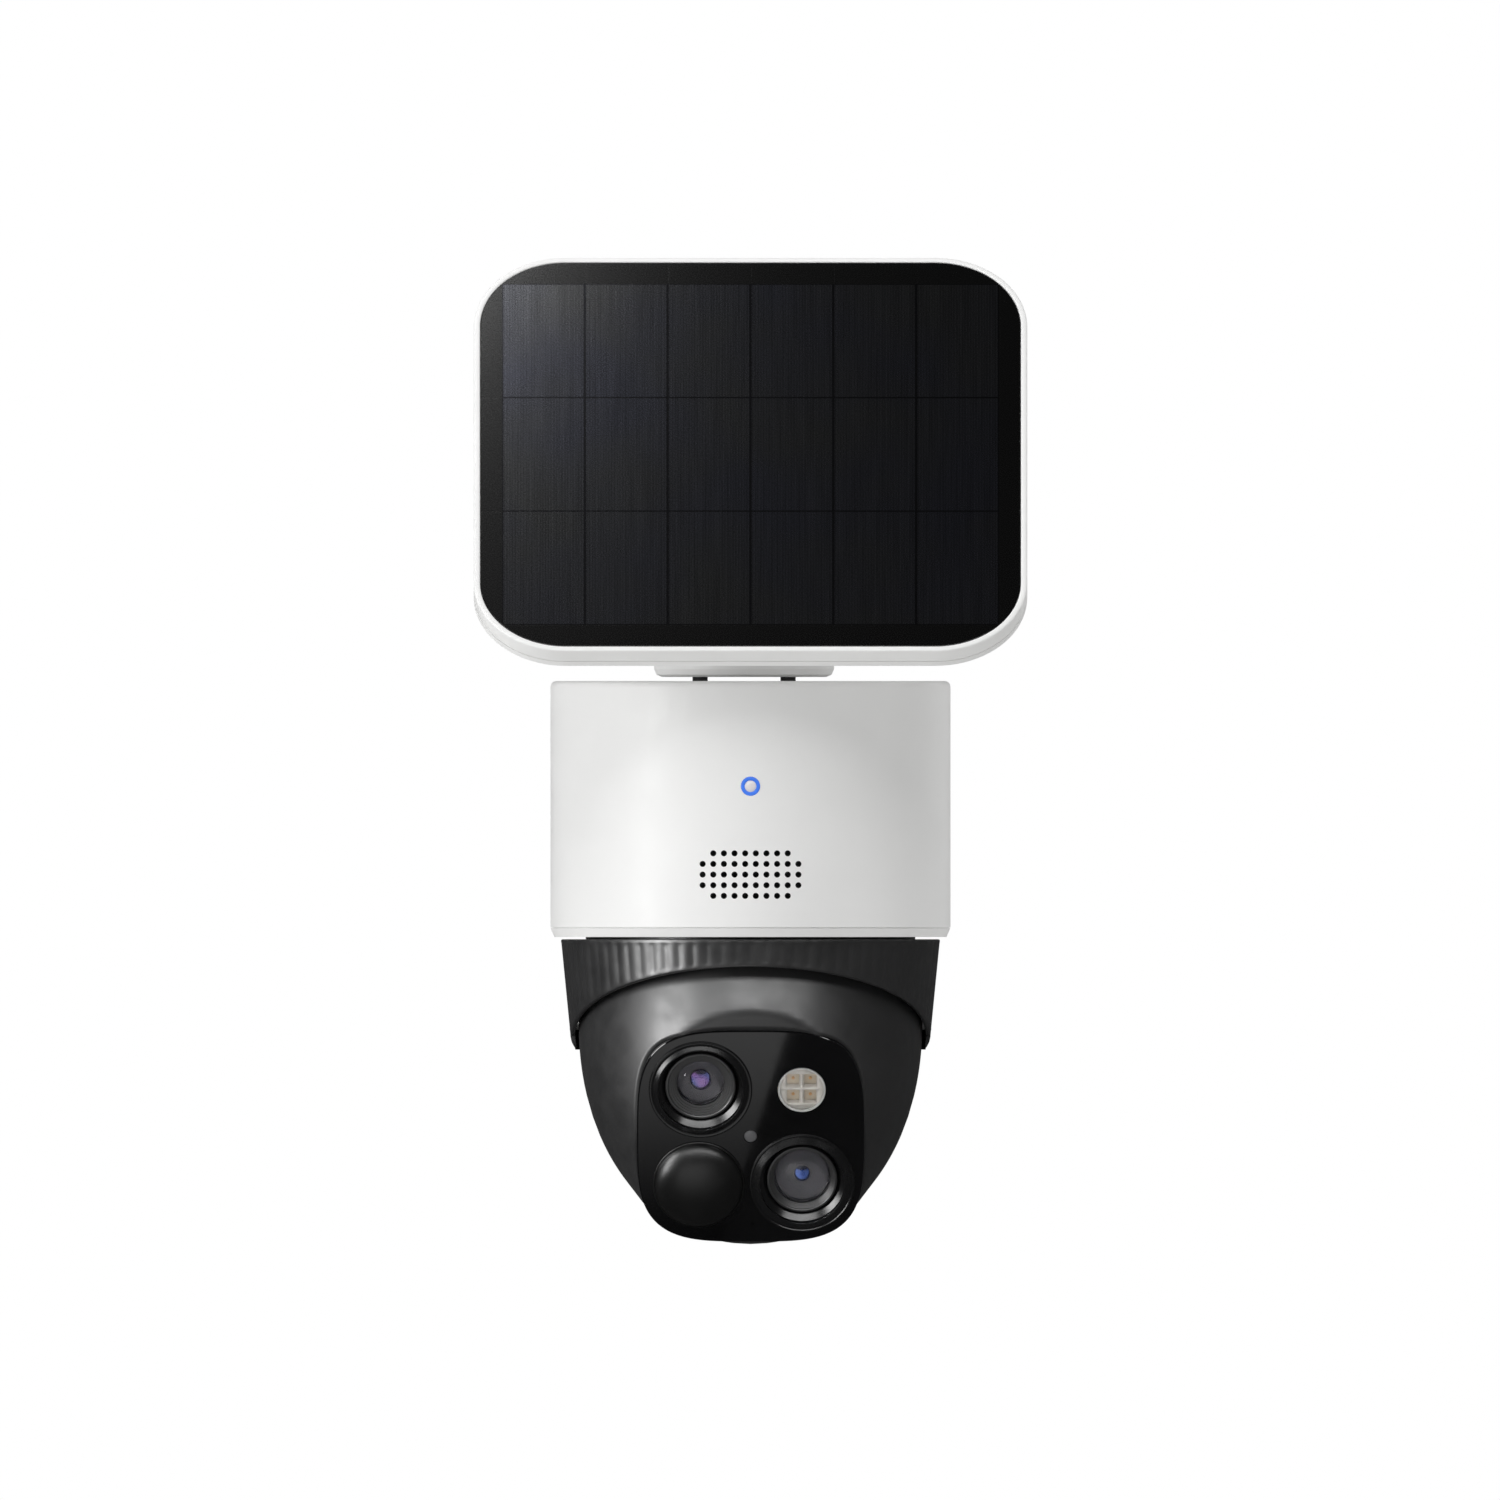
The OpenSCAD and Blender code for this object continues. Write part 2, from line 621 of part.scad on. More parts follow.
module panel_screws() color("silver") at_panel() at_panel_screws(-panel_t + 0.9) {
    translate([0, 0, -0.9]) cylinder(r = screw_head_r, h = 0.9);
    cylinder(r = screw_r, h = 2);
}

module solar_glass() color([0.1, 0.11, 0.12]) at_panel() translate([0, 0, -0.9]) linear_extrude(0.9)
    rounded_rect(panel_w - 2 * panel_rim - 2 * glass_gap, panel_l - 2 * panel_rim - 2 * glass_gap,
        inner_corner - glass_gap);

module solar_cells() color([0.16, 0.17, 0.2]) at_panel() translate([0, 0, -1.2])
    for (i = [0 : cells_x - 1], j = [0 : cells_y - 1])
        translate([(i - cells_x / 2) * cell_w + cell_gap / 2, (j - cells_y / 2) * cell_h + cell_gap / 2, 0])
            cube([cell_w - cell_gap, cell_h - cell_gap, 0.25]);

module solar_backsheet() color("black") at_panel() translate([0, 0, -2.2]) linear_extrude(1)
    rounded_rect(panel_w - 2 * panel_rim - 2 * glass_gap, panel_l - 2 * panel_rim - 2 * glass_gap,
        inner_corner - glass_gap);

// ---------- hood and cup ----------

// Radius of the hood's outside at a height
function hood_outer(z) = hood_r - (hood_top - z) * 2.4 / 24.4;

module hood_body() at_pan() let (low_r = hood_outer(hood_bottom + 3.2)) rotate_extrude() polygon([
    [42.3, hood_top], [hood_r - 0.4, hood_top], [hood_r, hood_top - 0.4],
    [low_r, hood_bottom + 3.2], [low_r - 0.3, hood_bottom + 1.9], [low_r - 0.8, hood_bottom + 0.9],
    [low_r - 1.45, hood_bottom], [43.5, hood_bottom], [head_r + 1.05, tilt_z],
    [hood_outer(hood_top - roof_t) - 1.3, hood_top - roof_t], [42.3, hood_top - roof_t]
]);

module pan_hood() color([0.15, 0.15, 0.15]) difference() {
    hood_body();
    at_pan() translate([0, 0, hood_bottom + 0.8 + arch_rise]) rotate([-atan(arch_slope), 0, 0])
        translate([-60, -80, -60]) cube([120, 80, 60]);
    for (s = [-1, 1]) translate([s * 50, pan_y, tilt_z])
        rotate([0, -90 * s, 0]) cylinder(r = pivot_r, h = 10);
    at_pan() for (k = [0 : 3]) rotate([0, 0, 45 + 90 * k]) translate([43.8, 0, hood_top - roof_t - e])
        cylinder(r = screw_r - 0.35, h = 1.5);
}

module pan_cup() color([0.15, 0.15, 0.15]) difference() {
    union() {
        at_tilt() intersection() {
            sphere(cup_out);
            translate([0, 0, hood_top - roof_t - tilt_z]) cylinder(r = cup_out, h = cup_out);
        }
        at_pan() translate([0, 0, hood_top]) cylinder(r = collar_r, h = gear_z0 + gear_h - hood_top);
        at_pan() translate([0, 0, hood_top - roof_t - 1.5]) cylinder(r = 45, h = 1.5);
    }
    at_tilt() sphere(cup_in);
    at_tilt() cylinder(r = 8, h = 60);
    at_pan() for (k = [0 : 3]) rotate([0, 0, 45 + 90 * k]) translate([43.8, 0, hood_top - roof_t - 3])
        cylinder(r = screw_r - 0.2, h = 4);
}

module hood_screws() color("silver") at_pan() for (k = [0 : 3]) rotate([0, 0, 45 + 90 * k])
    translate([43.8, 0, hood_top - roof_t - 1.5]) {
        translate([0, 0, -0.8]) cylinder(r = 1.2, h = 0.8);
        cylinder(r = screw_r - 0.35, h = 2.8);
    }

// ---------- tilt drive ----------

module tilt_pivots() color("silver") at_tilt() for (s = [-1, 1]) rotate([0, 90 * s, 0]) {
    translate([0, 0, s < 0 ? 25 : 36]) cylinder(r = pivot_r, h = 45.2 - (s < 0 ? 25 : 36));
}

module tilt_gear() color("ivory") at_tilt() along_x() translate([0, 0, tilt_gear_x]) difference() {
    union() {
        rotate([0, 0, tilt_motor_angle]) linear_extrude(3) polygon(gear_outline(tilt_module, tilt_teeth));
        translate([0, 0, -3]) cylinder(r = 5, h = 3.5);
    }
    translate([0, 0, -4]) cylinder(r = pivot_r, h = 8);
}

module at_tilt_motor() at_tilt() along_x() rotate([0, 0, tilt_motor_angle])
    translate([tilt_motor_r, 0, 0]) children();

module tilt_pinion() color("ivory") at_tilt_motor() translate([0, 0, tilt_gear_x]) difference() {
    rotate([0, 0, 180 + 180 / tilt_pinion_teeth])
        linear_extrude(3) polygon(gear_outline(tilt_module, tilt_pinion_teeth));
    translate([0, 0, -e]) cylinder(r = 1 + running, h = 4);
}

module tilt_motor() color("silver") at_tilt_motor() {
    translate([0, 0, tilt_gear_x + 3.5]) cylinder(r = 7, h = 20);
    translate([0, 0, tilt_gear_x - 0.6]) cylinder(r = 1, h = 5);
}

module tilt_bushes() color("ivory") at_tilt() for (s = [-1, 1]) rotate([0, 90 * s, 0]) difference() {
    union() {
        translate([0, 0, 38]) cylinder(r = bush_r, h = 4.6);
        translate([0, 0, 38.2]) cylinder(r = 6, h = 1.7);
    }
    translate([0, 0, 30]) cylinder(r = pivot_r + running, h = 20);
}

// ---------- head ----------

// Form of the head drawn in by inset: round back, chin and the edge of the face
module head_form(inset) hull() {
    sphere(head_r - inset, $fn = 44);
    rotate([90 + chin_down, 0, 0]) rotate_extrude($fn = 44)
        polygon(egg(head_r - inset, chin_reach - inset, 12));
    on_face() translate([0, 0, -face_t - 3]) face_prism(face_half - inset, 2.6);
}

module face_prism(half, h) linear_extrude(h) polygon(squircle(half, half + 0.15, face_power, 56));

module ahead_of_face(lift) on_face() translate([-60, -60, lift]) cube([120, 120, 30]);

module head_shell() at_tilt() difference() {
    head_form(0);
    ahead_of_face(0);
    on_face() translate([0, 0, -face_t]) face_prism(face_half + 0.1, 10);
    on_face() translate([0, 0, -face_t - 3]) face_prism(face_half - face_ledge, 10);
    difference() {
        head_form(head_wall);
        ahead_of_face(-face_t - 1.6);
    }
    for (s = [-1, 1]) rotate([0, 90 * s, 0]) translate([0, 0, 30]) cylinder(r = bush_r, h = 20);
}

// Half space behind the head's split line
module behind_split() at_tilt() rotate([90 + face_down, 0, 0])
    translate([-60, -80, -60 - split_back]) cube([120, 160, 60]);

module head_front_shell() color([0.12, 0.12, 0.12]) difference() {
    head_shell();
    behind_split();
}

module head_rear_shell() color([0.12, 0.12, 0.12]) intersection() {
    head_shell();
    behind_split();
}

module face_hole(p, r) translate([p[0], p[1], -5]) cylinder(r = r, h = 10);

module face_plate() color([0.05, 0.05, 0.05]) at_face() difference() {
    translate([0, 0, -face_t]) face_prism(face_half, face_t);
    face_hole(wide_at, 12.2);
    face_hole(tele_at, 12.3);
    face_hole(motion_at, 10.8);
    face_hole(spot_at, 6.05);
    face_hole(light_at, 1.7);
    face_hole(mic_at, 0.4);
}

// Trim ring of a lens: a flange on the face and a funnel down to the barrel
module lens_bezel(flange_r, hole_r, bright_out, bright_in, funnel_r) rotate_extrude() polygon([
    [flange_r, 0], [flange_r, 0.4], [flange_r - 0.4, 0.7], [bright_out, 0.7], [bright_in, -0.6],
    [funnel_r, -3.6], [funnel_r, -5], [hole_r, -5], [hole_r, 0]
]);

module wide_lens_bezel() color("dimgray") at_place(wide_at) lens_bezel(12.95, 12.1, 11.9, 10.8, 8.95);

module tele_lens_bezel() color("dimgray") at_place(tele_at) lens_bezel(13.2, 12.2, 12.5, 10.8, 8.95);

module lens_barrel(r, glass_r) difference() {
    translate([0, 0, -2 - barrel_l]) cylinder(r = r, h = barrel_l);
    translate([0, 0, -4.4]) cylinder(r1 = glass_r, r2 = r - 0.6, h = 2.4 + e);
    translate([0, 0, -3 - barrel_l]) cylinder(r = glass_r - 1, h = barrel_l + 2);
}

module wide_lens_barrel() color("black") at_place(wide_at) lens_barrel(8.85, 6.1);

module tele_lens_barrel() color("black") at_place(tele_at) lens_barrel(8.85, 7.2);

// Front element: a shallow dome on a flat disc
module lens_glass(r, rise) translate([0, 0, -4.3]) intersection() {
    translate([0, 0, rise - (r * r + rise * rise) / (2 * rise)]) sphere((r * r + rise * rise) / (2 * rise));
    cylinder(r = r, h = 10);
}

module wide_lens_glass() color("midnightblue") at_place(wide_at) lens_glass(5.9, 2.2);

module tele_lens_glass() color("midnightblue") at_place(tele_at) lens_glass(7.0, 2.2);

module image_boards() color("seagreen") for (p = [wide_at, tele_at])
    at_place(p, -3.6 - barrel_l) linear_extrude(1.4) rounded_rect(17, 17, 1.5);

module motion_lens() color([0.08, 0.08, 0.08]) at_place(motion_at) rotate_extrude()
    polygon(concat(
        [[10.7, -1.5], [10.7, 0], [11.5, 0], [11.5, 0.5]],
        [for (i = [1 : 9]) let (a = 90 * i / 9) [11.2 * cos(a), 0.5 + 4.6 * sin(a)]],
        [for (i = [9 : -1 : 0]) let (a = 90 * i / 9) [9.9 * cos(a), 0.4 + 3.7 * sin(a)]],
        [[9.9, -1.5]]
    ));

module motion_sensor() color("silver") at_place(motion_at) {
    translate([0, 0, -8]) cylinder(r = 4.6, h = 4.2);
    translate([0, 0, -9.4]) linear_extrude(1.5) rounded_rect(16, 16, 1.5);
}

module spotlight_cover() color([0.85, 0.85, 0.82]) at_place(spot_at, -1.4) cylinder(r = 5.95, h = 1.6);

module spotlight_leds() color("wheat") at_place(spot_at) {
    translate([0, 0, -5]) cylinder(r = 6.6, h = 1.2);
    for (x = [-1, 1], y = [-1, 1]) translate([x * 2.1, y * 2.1, -3.3]) cube([3.3, 3.3, 1.2], center = true);
}

module light_sensor() color("gray") at_place(light_at, -3) cylinder(r = 1.65, h = 3);

module microphone() color("silver") at_place(mic_at, -face_t - 1.8) cylinder(r = 2, h = 1.7);

// ---------- assembly ----------

wall_bracket();
bracket_lock_screw();
housing_shell();
rear_cover();
rear_gasket();
bottom_cover();
housing_screws();
status_light_ring();
speaker();
main_board();
battery_cells();
battery_cradle();
wifi_antenna();
charge_port();
port_cover();
power_switch();
power_button();
pan_motor();
pan_pinion();
pan_thrust_ring();
panel_rails();
panel_hub();
swivel_seal();
swivel_arm();
swivel_washer();
swivel_screw();
hinge_pin();
clamp_knob();
panel_frame();
panel_back_cover();
panel_screws();
solar_glass();
solar_cells();
solar_backsheet();
pan_hood();
pan_cup();
pan_gear();
hood_screws();
tilt_pivots();
tilt_gear();
head_front_shell();
head_rear_shell();
face_plate();
wide_lens_bezel();
wide_lens_barrel();
wide_lens_glass();
tele_lens_bezel();
tele_lens_barrel();
tele_lens_glass();
image_boards();
motion_lens();
motion_sensor();
spotlight_cover();
spotlight_leds();
light_sensor();
microphone();
tilt_bushes();
tilt_motor();
tilt_pinion();
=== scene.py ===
"""Solar-powered pan and tilt security camera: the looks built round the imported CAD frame."""
import json
import math

import bpy
import bmesh
from mathutils import Matrix, Vector
from mathutils.bvhtree import BVHTree
from mathutils.geometry import tessellate_polygon


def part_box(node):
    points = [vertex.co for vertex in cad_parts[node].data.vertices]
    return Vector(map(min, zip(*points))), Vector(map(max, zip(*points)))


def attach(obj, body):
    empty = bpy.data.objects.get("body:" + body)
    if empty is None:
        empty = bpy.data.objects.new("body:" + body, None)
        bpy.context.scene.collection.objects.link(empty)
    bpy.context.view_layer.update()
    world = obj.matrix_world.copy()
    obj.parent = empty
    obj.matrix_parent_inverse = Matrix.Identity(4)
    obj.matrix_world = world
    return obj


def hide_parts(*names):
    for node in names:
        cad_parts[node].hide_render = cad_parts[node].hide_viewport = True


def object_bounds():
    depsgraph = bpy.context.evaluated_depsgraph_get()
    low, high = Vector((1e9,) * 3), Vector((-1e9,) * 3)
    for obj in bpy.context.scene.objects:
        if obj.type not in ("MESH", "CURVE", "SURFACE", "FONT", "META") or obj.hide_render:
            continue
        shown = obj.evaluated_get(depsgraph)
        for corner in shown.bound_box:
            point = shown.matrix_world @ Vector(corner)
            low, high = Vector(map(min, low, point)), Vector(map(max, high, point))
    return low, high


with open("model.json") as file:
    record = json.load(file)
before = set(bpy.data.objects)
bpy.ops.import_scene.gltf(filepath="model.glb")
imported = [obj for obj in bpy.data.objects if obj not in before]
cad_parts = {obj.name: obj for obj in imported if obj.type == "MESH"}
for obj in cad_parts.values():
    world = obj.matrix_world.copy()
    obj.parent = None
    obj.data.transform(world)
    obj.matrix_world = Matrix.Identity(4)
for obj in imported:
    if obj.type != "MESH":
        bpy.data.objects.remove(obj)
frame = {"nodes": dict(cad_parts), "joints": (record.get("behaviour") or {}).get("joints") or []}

CAD_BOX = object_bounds()
MM = 0.001
TAU = 2 * math.pi
COLLECTION = bpy.context.scene.collection
JOINTS = {j["name"]: j for j in frame["joints"]}
PAN_AXIS = Vector(JOINTS["pan"]["pos_m"])
TILT_AXIS = Vector(JOINTS["tilt"]["pos_m"])


def box_centre(node):
    low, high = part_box(node)
    return (low + high) / 2


def tilted_frame(node, normal, depth):
    """Matrix of a frame with X right and Z along the normal, its origin depth ahead of a node's middle."""
    n = Vector(normal).normalized()
    up = n.cross(Vector((1, 0, 0))).normalized()
    origin = box_centre(node) + n * depth
    origin.x = 0
    return Matrix((
        (1, up.x, n.x, origin.x),
        (0, up.y, n.y, origin.y),
        (0, up.z, n.z, origin.z),
        (0, 0, 0, 1),
    ))


FACE_DOWN = math.radians(22.5)
PANEL_UP = math.radians(48)
FACE = tilted_frame("face_plate", (0, -math.cos(FACE_DOWN), -math.sin(FACE_DOWN)), 1.1 * MM)
PANEL = tilted_frame("panel_frame", (0, -math.sin(PANEL_UP), math.cos(PANEL_UP)), 1.9 * MM)

# Places on the face, sideways and up from its centre, in mm
WIDE, TELE, MOTION, SPOT = (-12.5, 12.7), (12.9, -12.5), (-12.95, -12.9), (12.8, 12.6)
LIGHT, MIC = (0, 0), (0.45, -23.5)


# ---------- materials ----------

class Nodes:
    """A material's node tree with short calls for adding and joining nodes."""

    def __init__(self, name):
        self.material = bpy.data.materials.new(name)
        self.material.use_nodes = True
        self.tree = self.material.node_tree
        self.tree.nodes.clear()
        self.out = self.add("ShaderNodeOutputMaterial")
        self.shader = self.add("ShaderNodeBsdfPrincipled")
        self.link(self.shader.outputs["BSDF"], self.out.inputs["Surface"])
        self.coords = self.add("ShaderNodeTexCoord").outputs["Object"]

    def add(self, kind, **values):
        made = self.tree.nodes.new(kind)
        for key, value in values.items():
            setattr(made, key, value)
        return made

    def link(self, a, b):
        self.tree.links.new(a, b)

    def set(self, **values):
        for key, value in values.items():
            self.shader.inputs[key.replace("_", " ")].default_value = value

    def noise(self, scale, detail=2.0, rough=0.5, stretch=None):
        made = self.add("ShaderNodeTexNoise")
        made.inputs["Scale"].default_value = scale
        made.inputs["Detail"].default_value = detail
        made.inputs["Roughness"].default_value = rough
        source = self.coords
        if stretch:
            mapping = self.add("ShaderNodeMapping")
            mapping.inputs["Scale"].default_value = stretch
            self.link(source, mapping.inputs["Vector"])
            source = mapping.outputs["Vector"]
        self.link(source, made.inputs["Vector"])
        return made.outputs["Fac"]

    def ramp(self, source, low, high, a=0.35, b=0.65):
        made = self.add("ShaderNodeMapRange")
        made.inputs["From Min"].default_value = a
        made.inputs["From Max"].default_value = b
        made.inputs["To Min"].default_value = low
        made.inputs["To Max"].default_value = high
        self.link(source, made.inputs["Value"])
        return made.outputs["Result"]

    def math(self, op, a, b=None, c=None):
        made = self.add("ShaderNodeMath", operation=op)
        for socket, value in zip(made.inputs, (a, b, c)):
            if value is None:
                continue
            if isinstance(value, (int, float)):
                socket.default_value = value
            else:
                self.link(value, socket)
        return made.outputs["Value"]

    def mix(self, fac, a, b):
        made = self.add("ShaderNodeMix", data_type="RGBA")
        for socket, value in ((made.inputs[0], fac), (made.inputs[6], a), (made.inputs[7], b)):
            if isinstance(value, (int, float)):
                socket.default_value = value
            elif isinstance(value, tuple):
                socket.default_value = (*value, 1.0)
            else:
                self.link(value, socket)
        return made.outputs[2]

    def bump(self, height, strength, distance):
        made = self.add("ShaderNodeBump")
        made.inputs["Strength"].default_value = strength
        made.inputs["Distance"].default_value = distance
        self.link(height, made.inputs["Height"])
        self.link(made.outputs["Normal"], self.shader.inputs["Normal"])

    def xyz(self):
        made = self.add("ShaderNodeSeparateXYZ")
        self.link(self.coords, made.inputs[0])
        return made.outputs


def shade(colour, factor):
    return tuple(min(1.0, c * factor) for c in colour)


def moulded(name, colour, rough, grain=5200, depth=0.012, mottling=0.05, swing=0.05, coat=0.0, metal=0.0,
            stretch=None, index=1.5, shine=0.5):
    """Plastic, rubber or metal: fine grain of the given depth in mm, slow drift in colour and in gloss."""
    n = Nodes(name)
    n.set(Metallic=metal, IOR=index, Specular_IOR_Level=shine)
    if coat:
        n.set(Coat_Weight=coat, Coat_Roughness=0.04)
    slow = n.noise(38, 3)
    fine = n.noise(grain, 2, 0.6, stretch)
    tone = n.mix(n.ramp(slow, 0, 1), shade(colour, 1 - mottling), shade(colour, 1 + mottling))
    n.link(tone, n.shader.inputs["Base Color"])
    patches = n.ramp(n.noise(160, 4), -swing, swing)
    wear = n.math("ADD", patches, n.ramp(fine, rough - swing / 2, rough + swing / 2))
    n.link(wear, n.shader.inputs["Roughness"])
    n.bump(fine, 0.35, depth * MM)
    return n.material


def solar_material():
    """Dark textured top sheet over the cells: cell gaps, fine vertical fingers and a slow blue drift."""
    n = Nodes("solar_top_sheet")
    n.set(Metallic=1.0)
    x, y, _ = n.xyz()
    pitch_x, pitch_y = 20.7 * MM, 38.2 * MM
    across, along = 6, 3
    finger_pitch = 0.69 * MM

    def gap(value, pitch, count, width):
        """Masks along one axis: 1 on the lines between cells, and 1 inside the field of cells."""
        cell = n.math("FRACT", n.math("ADD", n.math("DIVIDE", value, pitch), count / 2))
        edge = n.math("MULTIPLY", n.math("MINIMUM", cell, n.math("SUBTRACT", 1.0, cell)), pitch)
        inside = n.math("LESS_THAN", n.math("ABSOLUTE", value), count / 2 * pitch)
        line = n.math("LESS_THAN", edge, width / 2)
        return line, inside

    line_x, in_x = gap(x, pitch_x, across, 0.62 * MM)
    line_y, in_y = gap(y, pitch_y, along, 0.5 * MM)
    inside = n.math("MULTIPLY", in_x, in_y)
    lines = n.math("MAXIMUM", line_x, line_y)
    finger = n.math("SINE", n.math("MULTIPLY", x, TAU / finger_pitch))
    streak = n.ramp(n.noise(1400, 2, 0.6, (1, 0.02, 1)), -0.14, 0.14)
    finger_gain = n.math("ADD", 1.0, n.math("ADD", n.math("MULTIPLY", finger, 0.16), streak))
    drift = n.ramp(n.noise(26, 2, 0.5), 0, 1)
    cell_colour = n.mix(drift, (0.064, 0.065, 0.067), (0.058, 0.060, 0.074))
    lit = n.add("ShaderNodeVectorMath", operation="SCALE")
    n.link(cell_colour, lit.inputs[0])
    n.link(finger_gain, lit.inputs["Scale"])
    with_lines = n.mix(lines, lit.outputs[0], (0.022, 0.022, 0.025))
    colour = n.mix(inside, (0.034, 0.034, 0.034), with_lines)
    n.link(colour, n.shader.inputs["Base Color"])
    grain = n.noise(2600, 2, 0.6)
    n.link(n.ramp(grain, 0.24, 0.30), n.shader.inputs["Roughness"])
    n.bump(n.math("ADD", grain, n.math("MULTIPLY", lines, -0.8)), 0.2, 0.02 * MM)
    return n.material


def lens_material():
    """Clear front element of a lens, with a light smear of roughness."""
    n = Nodes("front_element")
    n.set(Transmission_Weight=1.0, IOR=1.42)
    n.link(n.ramp(n.noise(420, 2), 0.02, 0.04), n.shader.inputs["Roughness"])
    tint = n.mix(n.ramp(n.noise(200, 2), 0, 1), (0.86, 0.86, 0.90), (0.92, 0.90, 0.95))
    n.link(tint, n.shader.inputs["Base Color"])
    return n.material


def coated(name, first, second):
    """Coated inner element of a lens, whose mirror colour drifts between two tints."""
    n = Nodes(name)
    n.set(Metallic=1.0)
    drift = n.ramp(n.noise(260, 0), 0, 1)
    n.link(n.mix(drift, first, second), n.shader.inputs["Base Color"])
    n.link(n.ramp(n.noise(900, 2), 0.10, 0.16), n.shader.inputs["Roughness"])
    return n.material


def clear_material(name, rough):
    """Clear plastic."""
    n = Nodes(name)
    n.set(Transmission_Weight=1.0, IOR=1.45)
    n.link(n.ramp(n.noise(2400, 2), rough * 0.8, rough * 1.2), n.shader.inputs["Roughness"])
    tint = n.mix(n.ramp(n.noise(300, 2), 0, 1), (0.96, 0.96, 0.96), (1, 1, 1))
    n.link(tint, n.shader.inputs["Base Color"])
    return n.material


def glowing(name, colour, glow, strength):
    """Lit plastic with a faint speckle."""
    n = Nodes(name)
    n.set(Emission_Strength=strength, Roughness=0.35)
    speckle = n.ramp(n.noise(900, 2), 0, 1)
    n.link(n.mix(speckle, shade(colour, 0.9), colour), n.shader.inputs["Base Color"])
    n.link(n.mix(speckle, shade(glow, 0.92), glow), n.shader.inputs["Emission Color"])
    return n.material


def board_material():
    """Circuit board: solder mask with copper tracks showing through and a fibre grain."""
    n = Nodes("board")
    tracks = n.add("ShaderNodeTexVoronoi", feature="DISTANCE_TO_EDGE")
    tracks.inputs["Scale"].default_value = 260
    n.link(n.coords, tracks.inputs["Vector"])
    line = n.math("LESS_THAN", tracks.outputs["Distance"], 0.06)
    mask = n.mix(n.ramp(n.noise(60, 3), 0, 1), (0.010, 0.085, 0.032), (0.014, 0.12, 0.045))
    n.link(n.mix(line, mask, (0.05, 0.22, 0.09)), n.shader.inputs["Base Color"])
    n.link(n.ramp(n.noise(3000, 2), 0.28, 0.42), n.shader.inputs["Roughness"])
    n.bump(n.math("ADD", line, n.noise(4000, 2)), 0.3, 0.03 * MM)
    return n.material


WHITE = (0.86, 0.86, 0.855)
SATIN = {"index": 1.6, "shine": 0.8}
BRUSHED = {"metal": 1.0, "stretch": (1, 1, 0.2)}
MATERIALS = {
    "housing_white": moulded("satin_white_housing", WHITE, 0.46, 6200, 0.010, 0.012, 0.05, shine=0.25),
    "panel_white": moulded("satin_white_panel", WHITE, 0.46, 6200, 0.010, 0.012, 0.05, shine=0.25),
    "hood_black": moulded("hood_plastic", (0.020, 0.020, 0.021), 0.38, 5200, 0.014, 0.08, 0.05, **SATIN),
    "head_black": moulded("head_plastic", (0.017, 0.017, 0.018), 0.45, 6400, 0.009, 0.08, 0.04, **SATIN),
    "face_black": moulded("face_acrylic", (0.0025, 0.0025, 0.0028), 0.07, 1500, 0.002, 0.2, 0.02),
    "bezel_black": moulded("bezel_satin", (0.006, 0.006, 0.0065), 0.24, 5000, 0.004, 0.15, 0.05),
    "barrel_black": moulded("barrel_anodised", (0.026, 0.026, 0.027), 0.42, 5000, 0.006, 0.1, shine=1.0),
    "motion_black": moulded("motion_window", (0.004, 0.004, 0.004), 0.36, 4200, 0.004, 0.2, 0.04),
    "sensor_grey": moulded("sensor_window", (0.10, 0.10, 0.105), 0.30, 4000, 0.006, 0.1, 0.05),
    "rail_black": moulded("rail_plastic", (0.026, 0.026, 0.027), 0.5, 4200, 0.02, 0.1, 0.06),
    "steel": moulded("turned_steel", (0.62, 0.62, 0.60), 0.28, 3600, 0.008, 0.06, 0.07, **BRUSHED),
    "nylon": moulded("gear_nylon", (0.72, 0.69, 0.60), 0.45, 3200, 0.015, 0.04, 0.06),
    "board_green": board_material(),
    "battery_wrap": moulded("battery_wrap", (0.03, 0.13, 0.34), 0.25, 900, 0.02, 0.08, 0.05, coat=0.4),
    "inner_grey": moulded("inner_grey", (0.28, 0.28, 0.29), 0.55, 3200, 0.02, 0.06, 0.06),
    "inner_black": moulded("inner_black", (0.02, 0.02, 0.02), 0.6, 3200, 0.02, 0.1, 0.06),
    "antenna_copper": moulded("antenna_foil", (0.78, 0.42, 0.22), 0.3, 2600, 0.01, 0.08, 0.06, metal=1.0),
    "rubber_black": moulded("seal_rubber", (0.015, 0.015, 0.015), 0.72, 2600, 0.03, 0.1, 0.06),
    "rubber_grey": moulded("button_rubber", (0.36, 0.365, 0.37), 0.62, 2600, 0.025, 0.06, 0.06),
    "backsheet_black": moulded("backsheet", (0.012, 0.012, 0.013), 0.5, 2200, 0.02, 0.1, 0.05),
    "solar_cell": moulded("bare_cell", (0.02, 0.025, 0.05), 0.3, 1800, 0.01, 0.15, 0.05),
    "solar_glass": solar_material(),
    "lens_glass": lens_material(),
    "clear_cover": clear_material("clear_window", 0.05),
    "led_amber": moulded("led_phosphor", (0.74, 0.63, 0.48), 0.5, 2400, 0.02, 0.08, 0.06),
    "light_blue": glowing("status_ring_glow", (0.02, 0.10, 0.5), (0.035, 0.15, 0.62), 0.7),
}


# ---------- mesh helpers ----------

